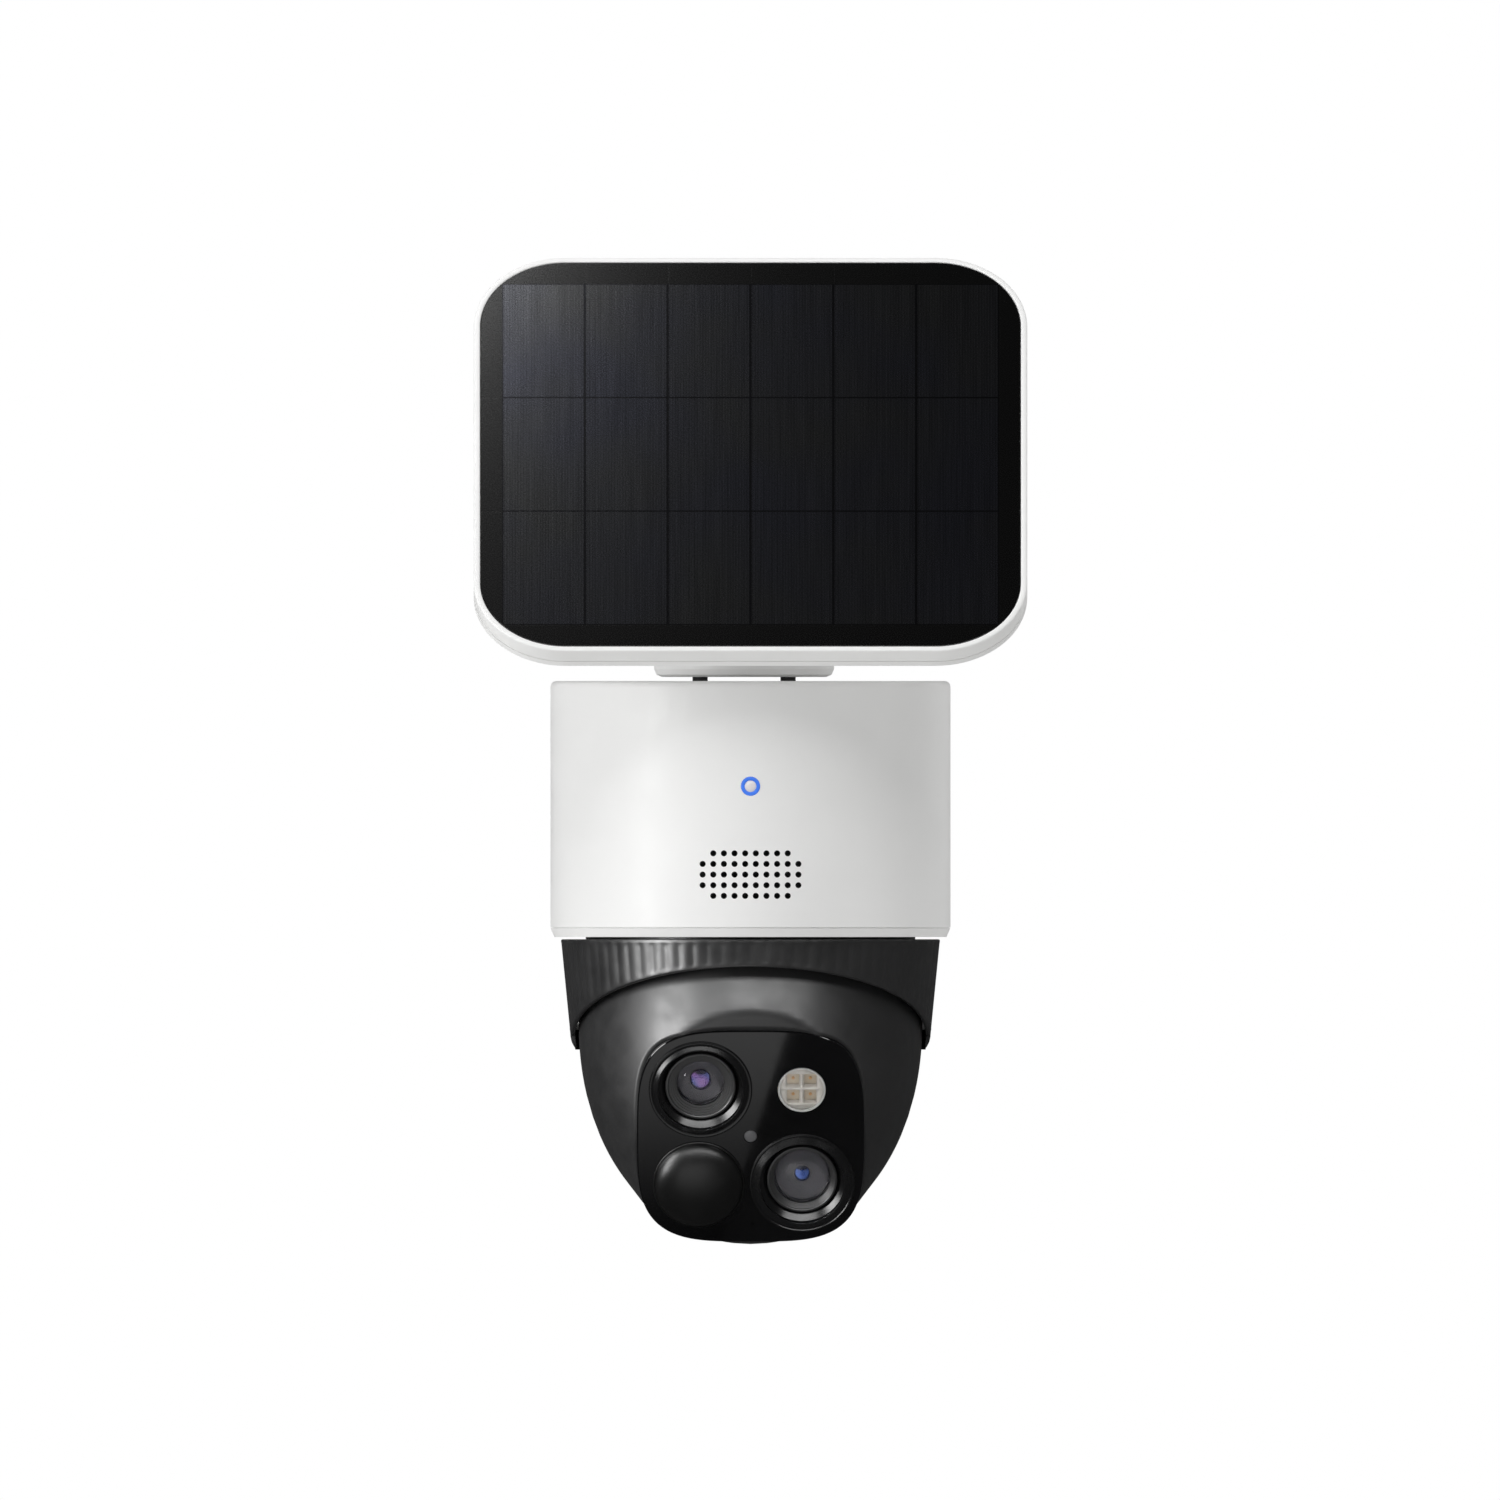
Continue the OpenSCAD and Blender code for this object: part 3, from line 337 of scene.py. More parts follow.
def piece(name, verts, faces, body, slot, replaced=(), matrix=None, sharp=40, material=None):
    """A smooth-shaded piece from points in mm, in the row frame or in the frame of the given matrix.

    Edges that turn by more than sharp degrees stay sharp. A material overrides the one of the slot.
    """
    mesh = bpy.data.meshes.new(name)
    mesh.from_pydata([Vector(v) * MM for v in verts], [], faces)
    mesh.validate()
    made = bpy.data.objects.new(name, mesh)
    COLLECTION.objects.link(made)
    outward(mesh)
    mesh.shade_smooth()
    mesh.set_sharp_from_angle(angle=math.radians(sharp))
    mesh.materials.append(material or MATERIALS[slot])
    if matrix is not None:
        made.matrix_world = matrix
    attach(made, body)
    if replaced:
        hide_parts(*replaced)
    return made


def outward(mesh):
    """Turns every face outward."""
    work = bmesh.new()
    work.from_mesh(mesh)
    bmesh.ops.recalc_face_normals(work, faces=work.faces)
    work.to_mesh(mesh)
    work.free()


def lathe(profile, centre=(0, 0), segments=128, closed=True):
    """Points and faces of a profile of (radius, height) turned about the local Z axis at centre."""
    verts, faces, rings = [], [], []
    for r, z in profile:
        if r < 1e-6:
            rings.append([len(verts)])
            verts.append((centre[0], centre[1], z))
        else:
            rings.append(list(range(len(verts), len(verts) + segments)))
            for k in range(segments):
                a = TAU * k / segments
                verts.append((centre[0] + r * math.cos(a), centre[1] + r * math.sin(a), z))
    pairs = list(zip(rings, rings[1:]))
    if closed and len(rings[0]) > 1 and len(rings[-1]) > 1:
        pairs.append((rings[-1], rings[0]))
    for a, b in pairs:
        for k in range(segments):
            m = (k + 1) % segments
            face = [a[k % len(a)], a[m % len(a)], b[m % len(b)], b[k % len(b)]]
            face = list(dict.fromkeys(face))
            if len(face) > 2:
                faces.append(face)
    return verts, faces


def joined(*parts):
    """One list of points and faces out of several."""
    verts, faces = [], []
    for v, f in parts:
        base = len(verts)
        verts += list(v)
        faces += [[i + base for i in face] for face in f]
    return verts, faces


def arc(cx, cz, r, a0, a1, steps):
    """Points of an arc in a profile, angles in degrees."""
    out = []
    for i in range(steps + 1):
        a = math.radians(a0 + (a1 - a0) * i / steps)
        out.append((cx + r * math.cos(a), cz + r * math.sin(a)))
    return out


def ring_points(centre, r, z, count):
    """Points of a level circle."""
    return [(centre[0] + r * math.cos(TAU * k / count), centre[1] + r * math.sin(TAU * k / count), z)
            for k in range(count)]


def ladder(first, second, count):
    """Quads between two rings of count points that begin at the given indices."""
    quads = []
    for k in range(count):
        m = (k + 1) % count
        quads.append([first + k, first + m, second + m, second + k])
    return quads


def rounded(points, radii, steps=4):
    """A closed profile with its corners rounded to the given radii."""
    out = []
    count = len(points)
    for i, (p, r) in enumerate(zip(points, radii)):
        p = Vector(p)
        a, b = Vector(points[i - 1]) - p, Vector(points[(i + 1) % count]) - p
        if r <= 0 or p.x < 1e-6:
            out.append(tuple(p))
            continue
        r = min(r, a.length / 2.05, b.length / 2.05)
        start, end = p + a.normalized() * r, p + b.normalized() * r
        for k in range(steps + 1):
            t = k / steps
            out.append(tuple((1 - t) ** 2 * start + 2 * t * (1 - t) * p + t * t * end))
    return out


def rounded_rect(w, h, r, inset, corner):
    """Outline of a rounded rectangle drawn in by inset, with the same number of points for every inset."""
    w, h, r = w / 2 - inset, h / 2 - inset, r - inset
    out = []
    for sx, sy, start in ((1, 1, 0), (-1, 1, 90), (-1, -1, 180), (1, -1, 270)):
        for k in range(corner + 1):
            a = math.radians(start + 90 * k / corner)
            out.append((sx * (w - r) + r * math.cos(a), sy * (h - r) + r * math.sin(a)))
    return out


def swept(outline, section):
    """A closed section of (inset, height) swept round an outline function of the inset."""
    rings = [[(x, y, z) for x, y in outline(inset)] for inset, z in section]
    n = len(rings[0])
    verts = [v for ring in rings for v in ring]
    faces = []
    for i in range(len(rings)):
        faces += ladder(i * n, (i + 1) % len(rings) * n, n)
    return verts, faces


def slab(outline, section, holes=()):
    """A plate with round holes: rings of (inset, height) from bottom to top, capped at both ends."""
    rings = [[(x, y, z) for x, y in outline(inset)] for inset, z in section]
    n = len(rings[0])
    verts = [v for ring in rings for v in ring]
    faces = []
    for i in range(len(rings) - 1):
        faces += ladder(i * n, (i + 1) * n, n)
    for start, ring in ((0, rings[0]), ((len(rings) - 1) * n, rings[-1])):
        loops = [[Vector(v) for v in ring]]
        index = [list(range(start, start + n))]
        for cx, cy, r, count in holes:
            base = len(verts)
            loop = ring_points((cx, cy), r, ring[0][2], count)
            verts += loop
            loops.append([Vector(v) for v in loop])
            index.append(list(range(base, base + count)))
        flat = [i for part in index for i in part]
        faces += [[flat[i] for i in tri] for tri in tessellate_polygon(loops)]
    base = len(rings) * n
    total = sum(count for _, _, _, count in holes)
    for _, _, _, count in holes:
        faces += ladder(base, base + total, count)
        base += count
    return verts, faces


def superellipse(half_w, half_h, power, count):
    """Outline function of the face plate, drawn in by an inset."""
    def outline(inset):
        out = []
        for k in range(count):
            t = TAU * k / count
            c, s = math.cos(t), math.sin(t)
            out.append((
                (half_w - inset) * math.copysign(abs(c) ** (2 / power), c),
                (half_h - inset) * math.copysign(abs(s) ** (2 / power), s),
            ))
        return out
    return outline


# ---------- head shells ----------

HEAD_R, CHIN, CHIN_DOWN, EGG_POWER = 43.0, 57.5, math.radians(66), 2.15
FACE_HALF, FACE_POWER, FACE_T = 28.4, 3.6, 2.2
SPLIT = -48.5                                    # split plane of the two shells, below the face


def head_hull():
    """Convex form of the head in the face's frame, round back, chin and edge of the face, for ray casts."""
    to_face = FACE.inverted()
    centre = to_face @ TILT_AXIS * 1000
    work = bmesh.new()
    around_it, pole_steps, chin_steps = 240, 120, 90
    for i in range(1, pole_steps):
        lat = math.pi * i / pole_steps
        for k in range(around_it):
            lon = TAU * k / around_it
            d = Vector((math.sin(lat) * math.cos(lon), math.sin(lat) * math.sin(lon), math.cos(lat)))
            work.verts.new(centre + d * HEAD_R)
    axis = (to_face.to_3x3() @ Vector((0, -math.cos(CHIN_DOWN), -math.sin(CHIN_DOWN)))).normalized()
    side = Vector((1, 0, 0))
    other = axis.cross(side)
    for i in range(chin_steps):
        t = math.pi / 2 * i / chin_steps
        r, h = HEAD_R * math.cos(t) ** (2 / EGG_POWER), CHIN * math.sin(t) ** (2 / EGG_POWER)
        for k in range(around_it):
            a = TAU * k / around_it
            work.verts.new(centre + axis * h + (side * math.cos(a) + other * math.sin(a)) * r)
    work.verts.new(centre + axis * CHIN)
    for x, y in superellipse(FACE_HALF, FACE_HALF + 0.15, FACE_POWER, 360)(0):
        work.verts.new((x, y, -FACE_T - 0.4))
    bmesh.ops.convex_hull(work, input=work.verts)
    loose = [v for v in work.verts if not v.link_faces]
    bmesh.ops.delete(work, geom=loose, context="VERTS")
    tree = BVHTree.FromBMesh(work)
    work.free()
    return centre, tree


def head_shells():
    """Front and rear shell: rows of points from the face's edge to the pole at the back, with a groove."""
    centre, tree = head_hull()
    columns, front_rows, rear_rows = 240, 44, 36
    back = Vector((0, 0, -1))

    def surface(direction):
        """Distance from the centre to the surface, kept behind the face."""
        far = centre + direction * 90
        hit = tree.ray_cast(far, -direction)[0]
        r = (hit - centre).length
        if direction.z > 1e-6:
            r = min(r, (-0.02 - centre.z) / direction.z)
        return r

    ring = superellipse(FACE_HALF + 0.1, FACE_HALF + 0.25, FACE_POWER, columns)(0)
    starts = []
    for x, y in ring:
        hit = tree.ray_cast(Vector((x, y, 30)), back)[0]
        starts.append(Vector((x, y, min(hit.z, -0.02))))

    def column(k, share):
        """Direction at a share of the way from the face's edge to the back."""
        first = (starts[k] - centre).normalized()
        angle = math.acos(max(-1, min(1, first.dot(back))))
        across = (first - back * first.dot(back)).normalized()
        a = angle * (1 - share)
        return back * math.cos(a) + across * math.sin(a)

    splits = []
    for k in range(columns):
        low, high = 0.0, 0.98
        for _ in range(26):
            mid = (low + high) / 2
            d = column(k, mid)
            if (centre + d * surface(d)).z > SPLIT:
                low = mid
            else:
                high = mid
        splits.append((low + high) / 2)

    groove = 0.22                                # depth of the groove
    lip, gap, rear_lip = 0.995, 0.0006, 0.0055   # shares of a column at which the groove begins and ends
    front = list(starts)
    for i in range(1, front_rows + 1):
        along = {front_rows - 1: lip, front_rows: 1.0}.get(i, i / front_rows)
        for k in range(columns):
            d = column(k, splits[k] * along)
            front.append(centre + d * (surface(d) - (groove if i == front_rows else 0.0)))
    rear = []
    for i in range(rear_rows):
        for k in range(columns):
            begin = splits[k]
            share = begin + gap
            if i > 0:
                share = begin + rear_lip + (1 - begin - rear_lip) * (i - 1) / (rear_rows - 1)
            d = column(k, min(share, 1.0))
            rear.append(centre + d * (surface(d) - (groove if i == 0 else 0.0)))

    def rows_between(count):
        return [quad for i in range(count - 1) for quad in ladder(i * columns, (i + 1) * columns, columns)]

    rings = rear_rows - 1
    rear = rear[: rings * columns] + [centre + back * surface(back)]
    last = (rings - 1) * columns
    cap = [[last + k, last + (k + 1) % columns, len(rear) - 1] for k in range(columns)]
    for name, points, faces, node in (
        ("head_front_skin", front, rows_between(front_rows + 1), "head_front_shell"),
        ("head_rear_skin", rear, rows_between(rings) + cap, "head_rear_shell"),
    ):
        made = piece(name, points, faces, "head", "head_black", (node,), FACE, 50)
        thick = made.modifiers.new("wall", "SOLIDIFY")
        thick.thickness = 1.8 * MM
        thick.offset = -1


# ---------- hood ----------

def hood():
    """Hood with 80 shallow grip flutes, an arch cut over the head and a rounded lower edge."""
    low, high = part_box("pan_hood")
    top, bottom = high.z * 1000, low.z * 1000
    ribs, per_rib = 80, 10
    columns = ribs * per_rib
    axis_y = PAN_AXIS.y * 1000
    arch_at, arch_slope = bottom + 2.8, 0.4
    outer_rows = 14

    tilt_z = TILT_AXIS.z * 1000
    foot_inner, tilt_inner, wall = 43.5, 44.05, 1.3
    top_outer, taper = 47.4, 2.4 / 24.4
    flute_depth = 0.13

    def outer(z):
        return top_outer - (top - z) * taper

    def inner(z):
        if z < tilt_z:
            return foot_inner + (z - bottom) / (tilt_z - bottom) * (tilt_inner - foot_inner)
        return tilt_inner + (z - tilt_z) / (top - 2 - tilt_z) * (outer(top - 2) - wall - tilt_inner)

    verts, faces = [], []
    rows = 0
    for k in range(columns):
        a = TAU * k / columns
        c, s = math.cos(a), math.sin(a)
        phase = (k % per_rib) / per_rib
        flute = 0.5 - 0.5 * math.cos(TAU * phase)
        dip = flute_depth * (1 - flute ** 0.7)
        depth = -s * outer(bottom)
        arched = depth > 1.1
        edge = arch_at + arch_slope * depth if arched else bottom
        rim = outer(top)
        loop = [(42.3, top - 2), (42.3, top), (rim - 0.45, top)]
        loop += [(rim - 0.12, top - 0.12), (rim - 0.02, top - 0.45)]
        round_h = 0.5 if arched else 3.2
        first = top - 1.1
        last = edge + round_h
        for i in range(outer_rows):
            z = first + (last - first) * i / (outer_rows - 1)
            fade = max(0.0, min(1.0, (top - 0.6 - z) / 0.8, z - last))
            loop.append((outer(z) - dip * fade, z))
        base = outer(edge + round_h)
        if arched:
            loop += [(base - 0.06, edge + 0.28), (base - 0.22, edge + 0.08), (base - 0.45, edge)]
            loop += [(inner(edge + 0.5) + 0.35, edge), (inner(edge + 0.5) + 0.05, edge + 0.15)]
        else:
            loop += [(base - 0.3, edge + 1.9), (base - 0.8, edge + 0.9), (base - 1.45, edge)]
            loop += [(inner(edge) + 0.3, edge), (inner(edge) + 0.02, edge + 0.25)]
        start = edge + 0.6
        for i in range(6):
            z = start + (top - 2.05 - start) * i / 5
            loop.append((min(inner(z), base - 0.3) if arched else inner(z), z))
        rows = len(loop)
        verts += [(r * c, axis_y + r * s, z) for r, z in loop]
    for k in range(columns):
        m = (k + 1) % columns
        for i in range(rows):
            j = (i + 1) % rows
            faces.append([k * rows + i, m * rows + i, m * rows + j, k * rows + j])
    piece("hood_skin", verts, faces, "pan_unit", "hood_black", ("pan_hood",), None, 50)


# ---------- face, lenses and lights ----------

def face():
    """Gloss window with a hole for each lens, lamp and sensor."""
    outline = superellipse(FACE_HALF, FACE_HALF + 0.15, FACE_POWER, 320)
    holes = [(*WIDE, 12.2, 96), (*TELE, 12.3, 96), (*MOTION, 10.8, 96), (*SPOT, 6.05, 64)]
    holes += [(*LIGHT, 1.7, 48), (*MIC, 0.4, 24)]
    section = [(0.1, -FACE_T), (0, -2.1), (0, -0.35), (0.04, -0.18), (0.16, -0.05), (0.34, 0)]
    verts, faces = slab(outline, section, holes)
    piece("face_window", verts, faces, "head", "face_black", ("face_plate",), FACE, 8)


def cap_profile(r, rise, z, steps):
    """Profile of a spherical cap from its rim, at height z, to its top."""
    ball = (r ** 2 + rise ** 2) / (2 * rise)
    reach = math.degrees(math.asin(min(1, r / ball)))
    points = arc(0, z + rise - ball, ball, 90 - reach, 90, steps)
    points[-1] = (0.0, points[-1][1])
    return points


def oval_profile(r, rise, z, steps):
    """Profile of a half oval from its rim, at height z, to its top."""
    quarter = [math.pi / 2 * i / steps for i in range(steps)]
    return [(r * math.cos(a), z + rise * math.sin(a)) for a in quarter] + [(0.0, z + rise)]


def lens(name, at, flange_r, bright_out, glass_r, inner_share, tints):
    """Trim with a threaded funnel, stepped barrel, glass dome and coated inner element."""
    hole = flange_r - 0.9
    funnel_r, funnel_z = 8.95, -3.6
    threads = []
    for i in range(6):
        r, z = funnel_r + 0.34 * i, funnel_z + 0.55 * i
        threads += [(r + 0.10, z + 0.02), (r - 0.02, z + 0.18)]
    flange = [(flange_r, 0.0), (flange_r, 0.25), (flange_r - 0.08, 0.4), (flange_r - 0.25, 0.49)]
    flange += [(flange_r - 0.45, 0.5), (bright_out + 0.22, 0.36), (bright_out + 0.08, 0.3)]
    chamfer = [(bright_out, 0.33), (bright_out - 0.1, 0.4), (11.05, 0.9), (10.95, 0.97), (10.8, 1.0)]
    chamfer += [(10.68, 0.94), (10.62, 0.8)]
    skirt = [(funnel_r, -3.8), (funnel_r, -5.0), (hole, -5.0), (hole, 0.0)]
    verts, faces = lathe(flange + chamfer + threads[::-1] + skirt, at, 160)
    piece(f"{name}_trim", verts, faces, "head", "bezel_black", (f"{name}_lens_bezel",), FACE, 32)

    step_count = 4
    step = (8.1 - glass_r - 0.2) / step_count
    steps = []
    for i in range(step_count):
        r = 8.05 - step * i
        z = -2.35 - 0.42 * i
        steps += [(r, z), (r, z - 0.3), (r - step * 0.75, z - 0.42)]
    inner_r = glass_r * inner_share
    profile = [(8.85, -16), (8.85, -2.3), (8.75, -2.06), (8.62, -2.0), (8.28, -2.0), (8.12, -2.12)] + steps
    profile += [(glass_r + 0.12, -4.05), (glass_r + 0.12, -4.95), (glass_r - 0.6, -5.2), (glass_r - 1, -5.9)]
    profile += [(inner_r + 0.6, -6.2), (inner_r + 0.1, -6.3), (inner_r + 0.1, -8.4), (2.0, -8.4), (2.0, -16)]
    verts, faces = lathe(profile, at, 144)
    piece(f"{name}_barrel", verts, faces, "head", "barrel_black", (f"{name}_lens_barrel",), FACE, 32)

    rim_z, back_z, segments = -4.3, -4.9, 128
    dome = cap_profile(glass_r, 2.2, rim_z, 20)
    verts, faces = lathe([(glass_r, rim_z)] + dome + [(0.0, back_z)], at, segments, closed=False)
    tip = len(verts) - 1
    faces = [f for f in faces if tip not in f] + [[(k + 1) % segments, k, tip] for k in range(segments)]
    piece(f"{name}_element", verts, faces, "head", "lens_glass", (f"{name}_lens_glass",), FACE, 30)

    bead = cap_profile(inner_r, inner_r * 0.42, -6.1, 14)
    verts, faces = lathe([(0.0, -6.6), (inner_r, -6.6)] + bead, at, 96, closed=False)
    coating = coated(f"{name}_coating", *tints)
    piece(f"{name}_inner_element", verts, faces, "head", "lens_glass", (), FACE, 30, coating)


def motion():
    """Domed window of the motion sensor, a thin shell with a flange."""
    flange = [(9.9, -1.5), (10.7, -1.5), (10.7, 0.0), (11.5, 0.0), (11.5, 0.32), (11.42, 0.46), (11.3, 0.52)]
    shell = flange + oval_profile(11.2, 4.6, 0.5, 20) + oval_profile(9.9, 3.7, 0.3, 10)[::-1]
    piece("motion_window", *lathe(shell, MOTION, 144), "head", "motion_black", ("motion_lens",), FACE, 40)


def four_places(place):
    """Centres of the spotlight's four emitters."""
    return [(SPOT[0] + sx * place, SPOT[1] + sy * place) for sx in (-1, 1) for sy in (-1, 1)]


def square_at(centre, width, corner_r):
    """Outline function of a rounded square, drawn in by an inset."""
    def outline(inset):
        return [(x + centre[0], y + centre[1]) for x, y in rounded_rect(width, width, corner_r, inset, 6)]
    return outline


def spotlight():
    """Clear cover, ring, reflector with four square pockets, and the emitters in them."""
    cover = rounded([(0, -0.15), (5.95, -0.15), (5.95, 0.2), (0, 0.2)], [0, 0.05, 0.15, 0])
    verts, faces = lathe(cover, SPOT, 96)
    piece("spot_window", verts, faces, "head", "clear_cover", ("spotlight_cover",), FACE, 40)
    ring = rounded([(5.45, -1.3), (5.93, -1.3), (5.93, -0.18), (5.45, -0.18)], [0.05] * 4)
    trim = moulded("spot_trim", (0.62, 0.62, 0.60), 0.35, 3000, 0.01)
    verts, faces = lathe(ring, SPOT, 96)
    piece("spot_ring", verts, faces, "head", "clear_cover", (), FACE, 40, trim)

    reflector = moulded("spot_reflector", (0.66, 0.63, 0.58), 0.42, 2600, 0.012)
    centres = four_places(2.08)
    face_z, segments = -0.62, 96
    pockets = []
    for centre in centres:
        outline = square_at(centre, 3.9, 0.8)
        loops = [[(x, y, z) for x, y in outline(inset)]
                 for inset, z in ((0.0, face_z), (0.12, -0.8), (0.3, -1.25), (0.5, -2.5))]
        n = len(loops[0])
        quads = [quad for i in range(len(loops) - 1) for quad in ladder(i * n, (i + 1) * n, n)]
        pockets.append(([p for loop in loops for p in loop], quads))
    edge = ring_points(SPOT, 5.4, face_z, segments)
    mouths = [verts[:n] for verts, _ in pockets]
    flat = edge + [p for mouth in mouths for p in mouth]
    loops = [[Vector(p) for p in loop] for loop in [edge] + mouths]
    cap = (flat, [list(t) for t in tessellate_polygon(loops)])
    skirt = (edge + ring_points(SPOT, 5.4, -1.4, segments), ladder(0, segments, segments))
    form = joined(cap, skirt, *pockets)
    made = piece("spot_reflector", *form, "head", "clear_cover", (), FACE, 40, reflector)
    merge(made)

    chip_section = [(0.05, -3.8), (0, -3.7), (0, -2.85), (0.1, -2.72), (0.3, -2.7)]
    die_profile = [(0.0, -2.7), (0.42, -2.7), (0.37, -2.55), (0.2, -2.46), (0.0, -2.44)]
    chips = [slab(square_at(centre, 3.3, 0.5), chip_section) for centre in centres]
    dots = [lathe(die_profile, centre, 32) for centre in centres]
    board = lathe(rounded([(0, -5), (6.6, -5), (6.6, -3.8), (0, -3.8)], [0, 0.1, 0.1, 0]), SPOT, 96)
    piece("spot_chips", *joined(board, *chips), "head", "led_amber", ("spotlight_leds",), FACE, 40)
    amber = moulded("led_die", (0.74, 0.42, 0.17), 0.4, 2400, 0.01)
    piece("spot_dies", *joined(*dots), "head", "led_amber", (), FACE, 40, amber)


def merge(made):
    """Joins points that lie on each other and turns the faces outward."""
    work = bmesh.new()
    work.from_mesh(made.data)
    bmesh.ops.remove_doubles(work, verts=work.verts, dist=1e-6)
    bmesh.ops.recalc_face_normals(work, faces=work.faces)
    work.to_mesh(made.data)
    work.free()


def face_sensor():
    """Small grey window in the middle of the face."""
    profile = [(0, -3), (1.65, -3), (1.65, -0.35), (1.55, -0.15), (1.2, -0.05), (0.6, 0.0), (0, 0.02)]
    piece("light_window", *lathe(profile, LIGHT, 64), "head", "sensor_grey", ("light_sensor",), FACE, 40)


def status_light():
    """Blue light ring round a pale window, in the housing's front."""
    low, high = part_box("status_light_ring")
    centre = (low + high) / 2 * 1000
    tip = -low.y * 1000
    deep = tip - 3
    matrix = Matrix(((1, 0, 0, 0), (0, 0, -1, 0), (0, 1, 0, 0), (0, 0, 0, 1)))
    at = (centre.x, centre.z)
    ring = rounded([(1.5, deep), (2.39, deep), (2.39, tip), (1.5, tip)], [0.05, 0.05, 0.25, 0.2])
    piece("status_ring", *lathe(ring, at, 96), "base", "light_blue", ("status_light_ring",), matrix, 40)
    window = [(0, deep), (1.48, deep), (1.48, tip - 0.25), (1.3, tip - 0.1), (0.7, tip - 0.02), (0, tip)]
    pale = moulded("status_window", (0.82, 0.78, 0.80), 0.35, 3000, 0.008)
    piece("status_window", *lathe(window, at, 64), "base", "light_blue", (), matrix, 40, pale)


# ---------- solar panel ----------

def solar_panel():
    """White rim with a rounded lip, and the dark top sheet in it."""
    w, h, corner_r = 138.4, 132.4, 23.0

    def outline(inset):
        return rounded_rect(w, h, corner_r, inset, 32)

    wall = [(0.25, -4.0), (0.06, -3.86), (0, -3.6), (0, -0.35), (0.05, -0.1)]
    lip = [(0.18, 0.08), (0.42, 0.19), (0.75, 0.2), (1.15, 0.2), (1.42, 0.14), (1.56, 0.0)]
    ledge = [(1.6, -0.25), (1.6, -2.3), (3.9, -2.3), (3.9, -4.0)]
    rim = swept(outline, wall + lip + ledge)
    piece("panel_rim", *rim, "panel", "panel_white", ("panel_frame",), PANEL, 40)
    sheet = slab(outline, [(1.7, -0.9), (1.7, -0.16), (1.74, -0.06), (1.84, 0.0)])
    piece("panel_top_sheet", *sheet, "panel", "solar_glass", ("solar_glass",), PANEL, 30)


head_shells()
hood()
face()
lens("wide", WIDE, 12.95, 11.9, 5.9, 0.36, ((0.34, 0.17, 0.42), (0.10, 0.13, 0.36)))
lens("tele", TELE, 13.2, 12.4, 7.0, 0.24, ((0.12, 0.22, 0.60), (0.04, 0.09, 0.30)))
motion()
spotlight()
face_sensor()
status_light()
solar_panel()

# ---------- carried-over CAD nodes ----------

for obj in frame["nodes"].values():
    if obj.hide_render:
        continue
    slot = obj.data.materials[0].name
    obj.data.materials.clear()
    obj.data.materials.append(MATERIALS[slot])

# ---------- stage ----------

def area_light(name, place, target, size, power, seen_by):
    """Rectangular light of the given width and height that only diffuse or only glossy surfaces see."""
    data = bpy.data.lights.new(name, "AREA")
    data.shape = "RECTANGLE"
    data.size, data.size_y = size
    data.energy = power
    light = bpy.data.objects.new(name, data)
    COLLECTION.objects.link(light)
    light.location = place
    turn = (Vector(target) - Vector(place)).to_track_quat("-Z", "Y")
    light.rotation_mode = "QUATERNION"
    light.rotation_quaternion = turn
    light.visible_camera = False
    light.visible_diffuse = seen_by == "diffuse"
    light.visible_glossy = seen_by == "glossy"


def around(azimuth, elevation, distance):
    """Vector to a place round the object: azimuth from the front to the right, and elevation, in degrees."""
    a, e = math.radians(azimuth), math.radians(elevation)
    return Vector((math.sin(a) * math.cos(e), -math.cos(a) * math.cos(e), math.sin(e))) * distance


def reflector_card():
    """Pale card under the face with a slanted edge, seen only by glossy rays, that fades downwards."""
    centre = box_centre("face_plate")
    distance, bright_share = 0.09, 0.7
    ahead, up = Vector((0, -1, -1)).normalized(), Vector((0, -1, 1)).normalized()
    corners = [(-60, -26), (-7.5, -26), (19.7, 60), (-60, 60)]
    mesh = bpy.data.meshes.new("card")
    points = [centre + ahead * distance + Vector((1, 0, 0)) * u * MM + up * v * MM for u, v in corners]
    mesh.from_pydata(points, [], [(0, 1, 2, 3)])
    card = bpy.data.objects.new("card", mesh)
    COLLECTION.objects.link(card)
    material = bpy.data.materials.new("card")
    material.use_nodes = True
    tree = material.node_tree
    tree.nodes.clear()
    out = tree.nodes.new("ShaderNodeOutputMaterial")
    glow = tree.nodes.new("ShaderNodeEmission")
    coords = tree.nodes.new("ShaderNodeTexCoord")
    split = tree.nodes.new("ShaderNodeSeparateXYZ")
    fade = tree.nodes.new("ShaderNodeMapRange")
    fade.interpolation_type = "SMOOTHSTEP"
    fade.inputs["From Min"].default_value = points[0].z
    fade.inputs["From Max"].default_value = points[0].lerp(points[3], bright_share).z
    fade.inputs["To Min"].default_value = 0.02
    fade.inputs["To Max"].default_value = 1.0
    tree.links.new(coords.outputs["Object"], split.inputs[0])
    tree.links.new(split.outputs["Z"], fade.inputs["Value"])
    tree.links.new(fade.outputs["Result"], glow.inputs["Strength"])
    tree.links.new(glow.outputs[0], out.inputs["Surface"])
    mesh.materials.append(material)
    for kind in ("camera", "shadow", "diffuse", "transmission", "volume_scatter"):
        setattr(card, f"visible_{kind}", False)


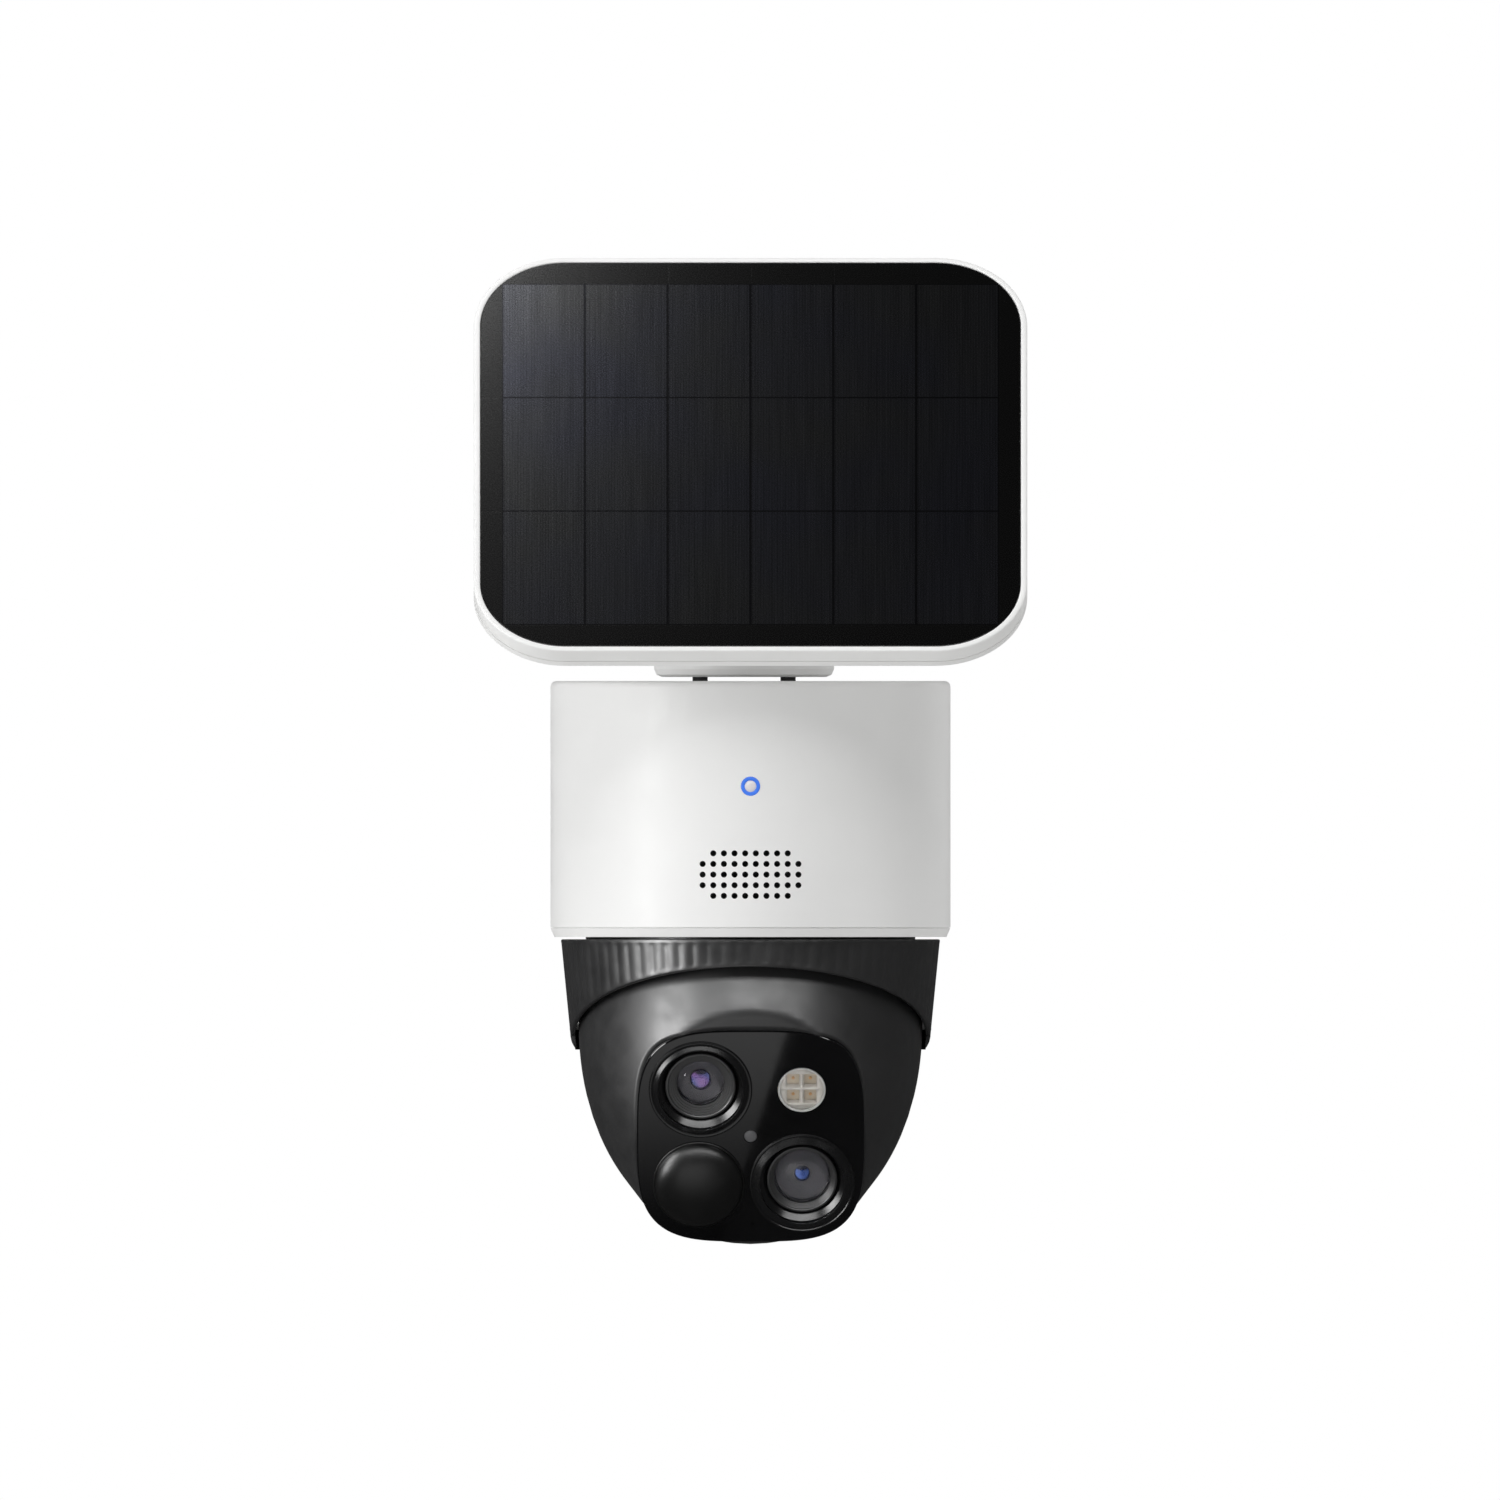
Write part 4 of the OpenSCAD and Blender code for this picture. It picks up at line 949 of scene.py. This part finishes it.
def studio_world(scene):
    """White behind the object, nearly dark in gloss, and a soft fill for everything else."""
    world = bpy.data.worlds.new("studio")
    scene.world = world
    world.use_nodes = True
    tree = world.node_tree
    tree.nodes.clear()
    out = tree.nodes.new("ShaderNodeOutputWorld")
    path = tree.nodes.new("ShaderNodeLightPath")

    def background(strength):
        made = tree.nodes.new("ShaderNodeBackground")
        made.inputs["Color"].default_value = (1, 1, 1, 1)
        made.inputs["Strength"].default_value = strength
        return made.outputs[0]

    def choose(ray, otherwise, then):
        made = tree.nodes.new("ShaderNodeMixShader")
        tree.links.new(path.outputs[ray], made.inputs["Fac"])
        tree.links.new(otherwise, made.inputs[1])
        tree.links.new(then, made.inputs[2])
        return made.outputs[0]

    fill, in_gloss, behind = background(0.50), background(0.05), background(1.0)
    unseen = choose("Is Glossy Ray", fill, in_gloss)
    tree.links.new(choose("Is Camera Ray", unseen, behind), out.inputs["Surface"])


def stage():
    scene = bpy.context.scene
    scene.view_settings.view_transform = "Standard"
    studio_world(scene)
    low, high = CAD_BOX
    mid = (low + high) / 2

    panel_mid = box_centre("solar_glass")
    area_light("key", mid + around(-74, 6, 1.0), mid, (0.34, 0.78), 4.0, "diffuse")
    area_light("high", mid + around(-4, 56, 1.0), mid, (0.6, 0.5), 4.2, "diffuse")
    area_light("strip", mid + around(-58, 8, 1.0), mid, (0.34, 0.78), 12.5, "glossy")
    area_light("front", mid + around(4, 30, 1.1), mid, (1.3, 0.3), 9.0, "glossy")
    area_light("rim", mid + around(140, 4, 0.9), mid, (0.25, 0.8), 3.4, "diffuse")
    glow_from, glow_to = Vector((-0.10, 0.06, 0.30)), Vector((-0.05, 0.03, 0.04))
    area_light("panel_glow", panel_mid + glow_from, panel_mid + glow_to, (0.08, 0.08), 0.3, "glossy")
    reflector_card()

    floor_mesh = bpy.data.meshes.new("floor")
    z, half = low.z - 0.05, 3.0
    corners = [(-half, -half, z), (half, -half, z), (half, half, z), (-half, half, z)]
    floor_mesh.from_pydata(corners, [], [(0, 1, 2, 3)])
    floor = bpy.data.objects.new("floor", floor_mesh)
    COLLECTION.objects.link(floor)
    floor_mesh.materials.append(moulded("pale_floor", (0.8, 0.8, 0.79), 0.8, 400, 0.02, 0.008))
    floor.visible_glossy = False

    data = bpy.data.cameras.new("camera")
    camera = bpy.data.objects.new("camera", data)
    COLLECTION.objects.link(camera)
    data.type = "ORTHO"
    data.ortho_scale = 0.375
    camera.location = (-0.000125, -2.0, 0.01475)
    camera.rotation_euler = (math.pi / 2, 0, 0)
    data.clip_start, data.clip_end = 0.1, 20
    scene.camera = camera


stage()
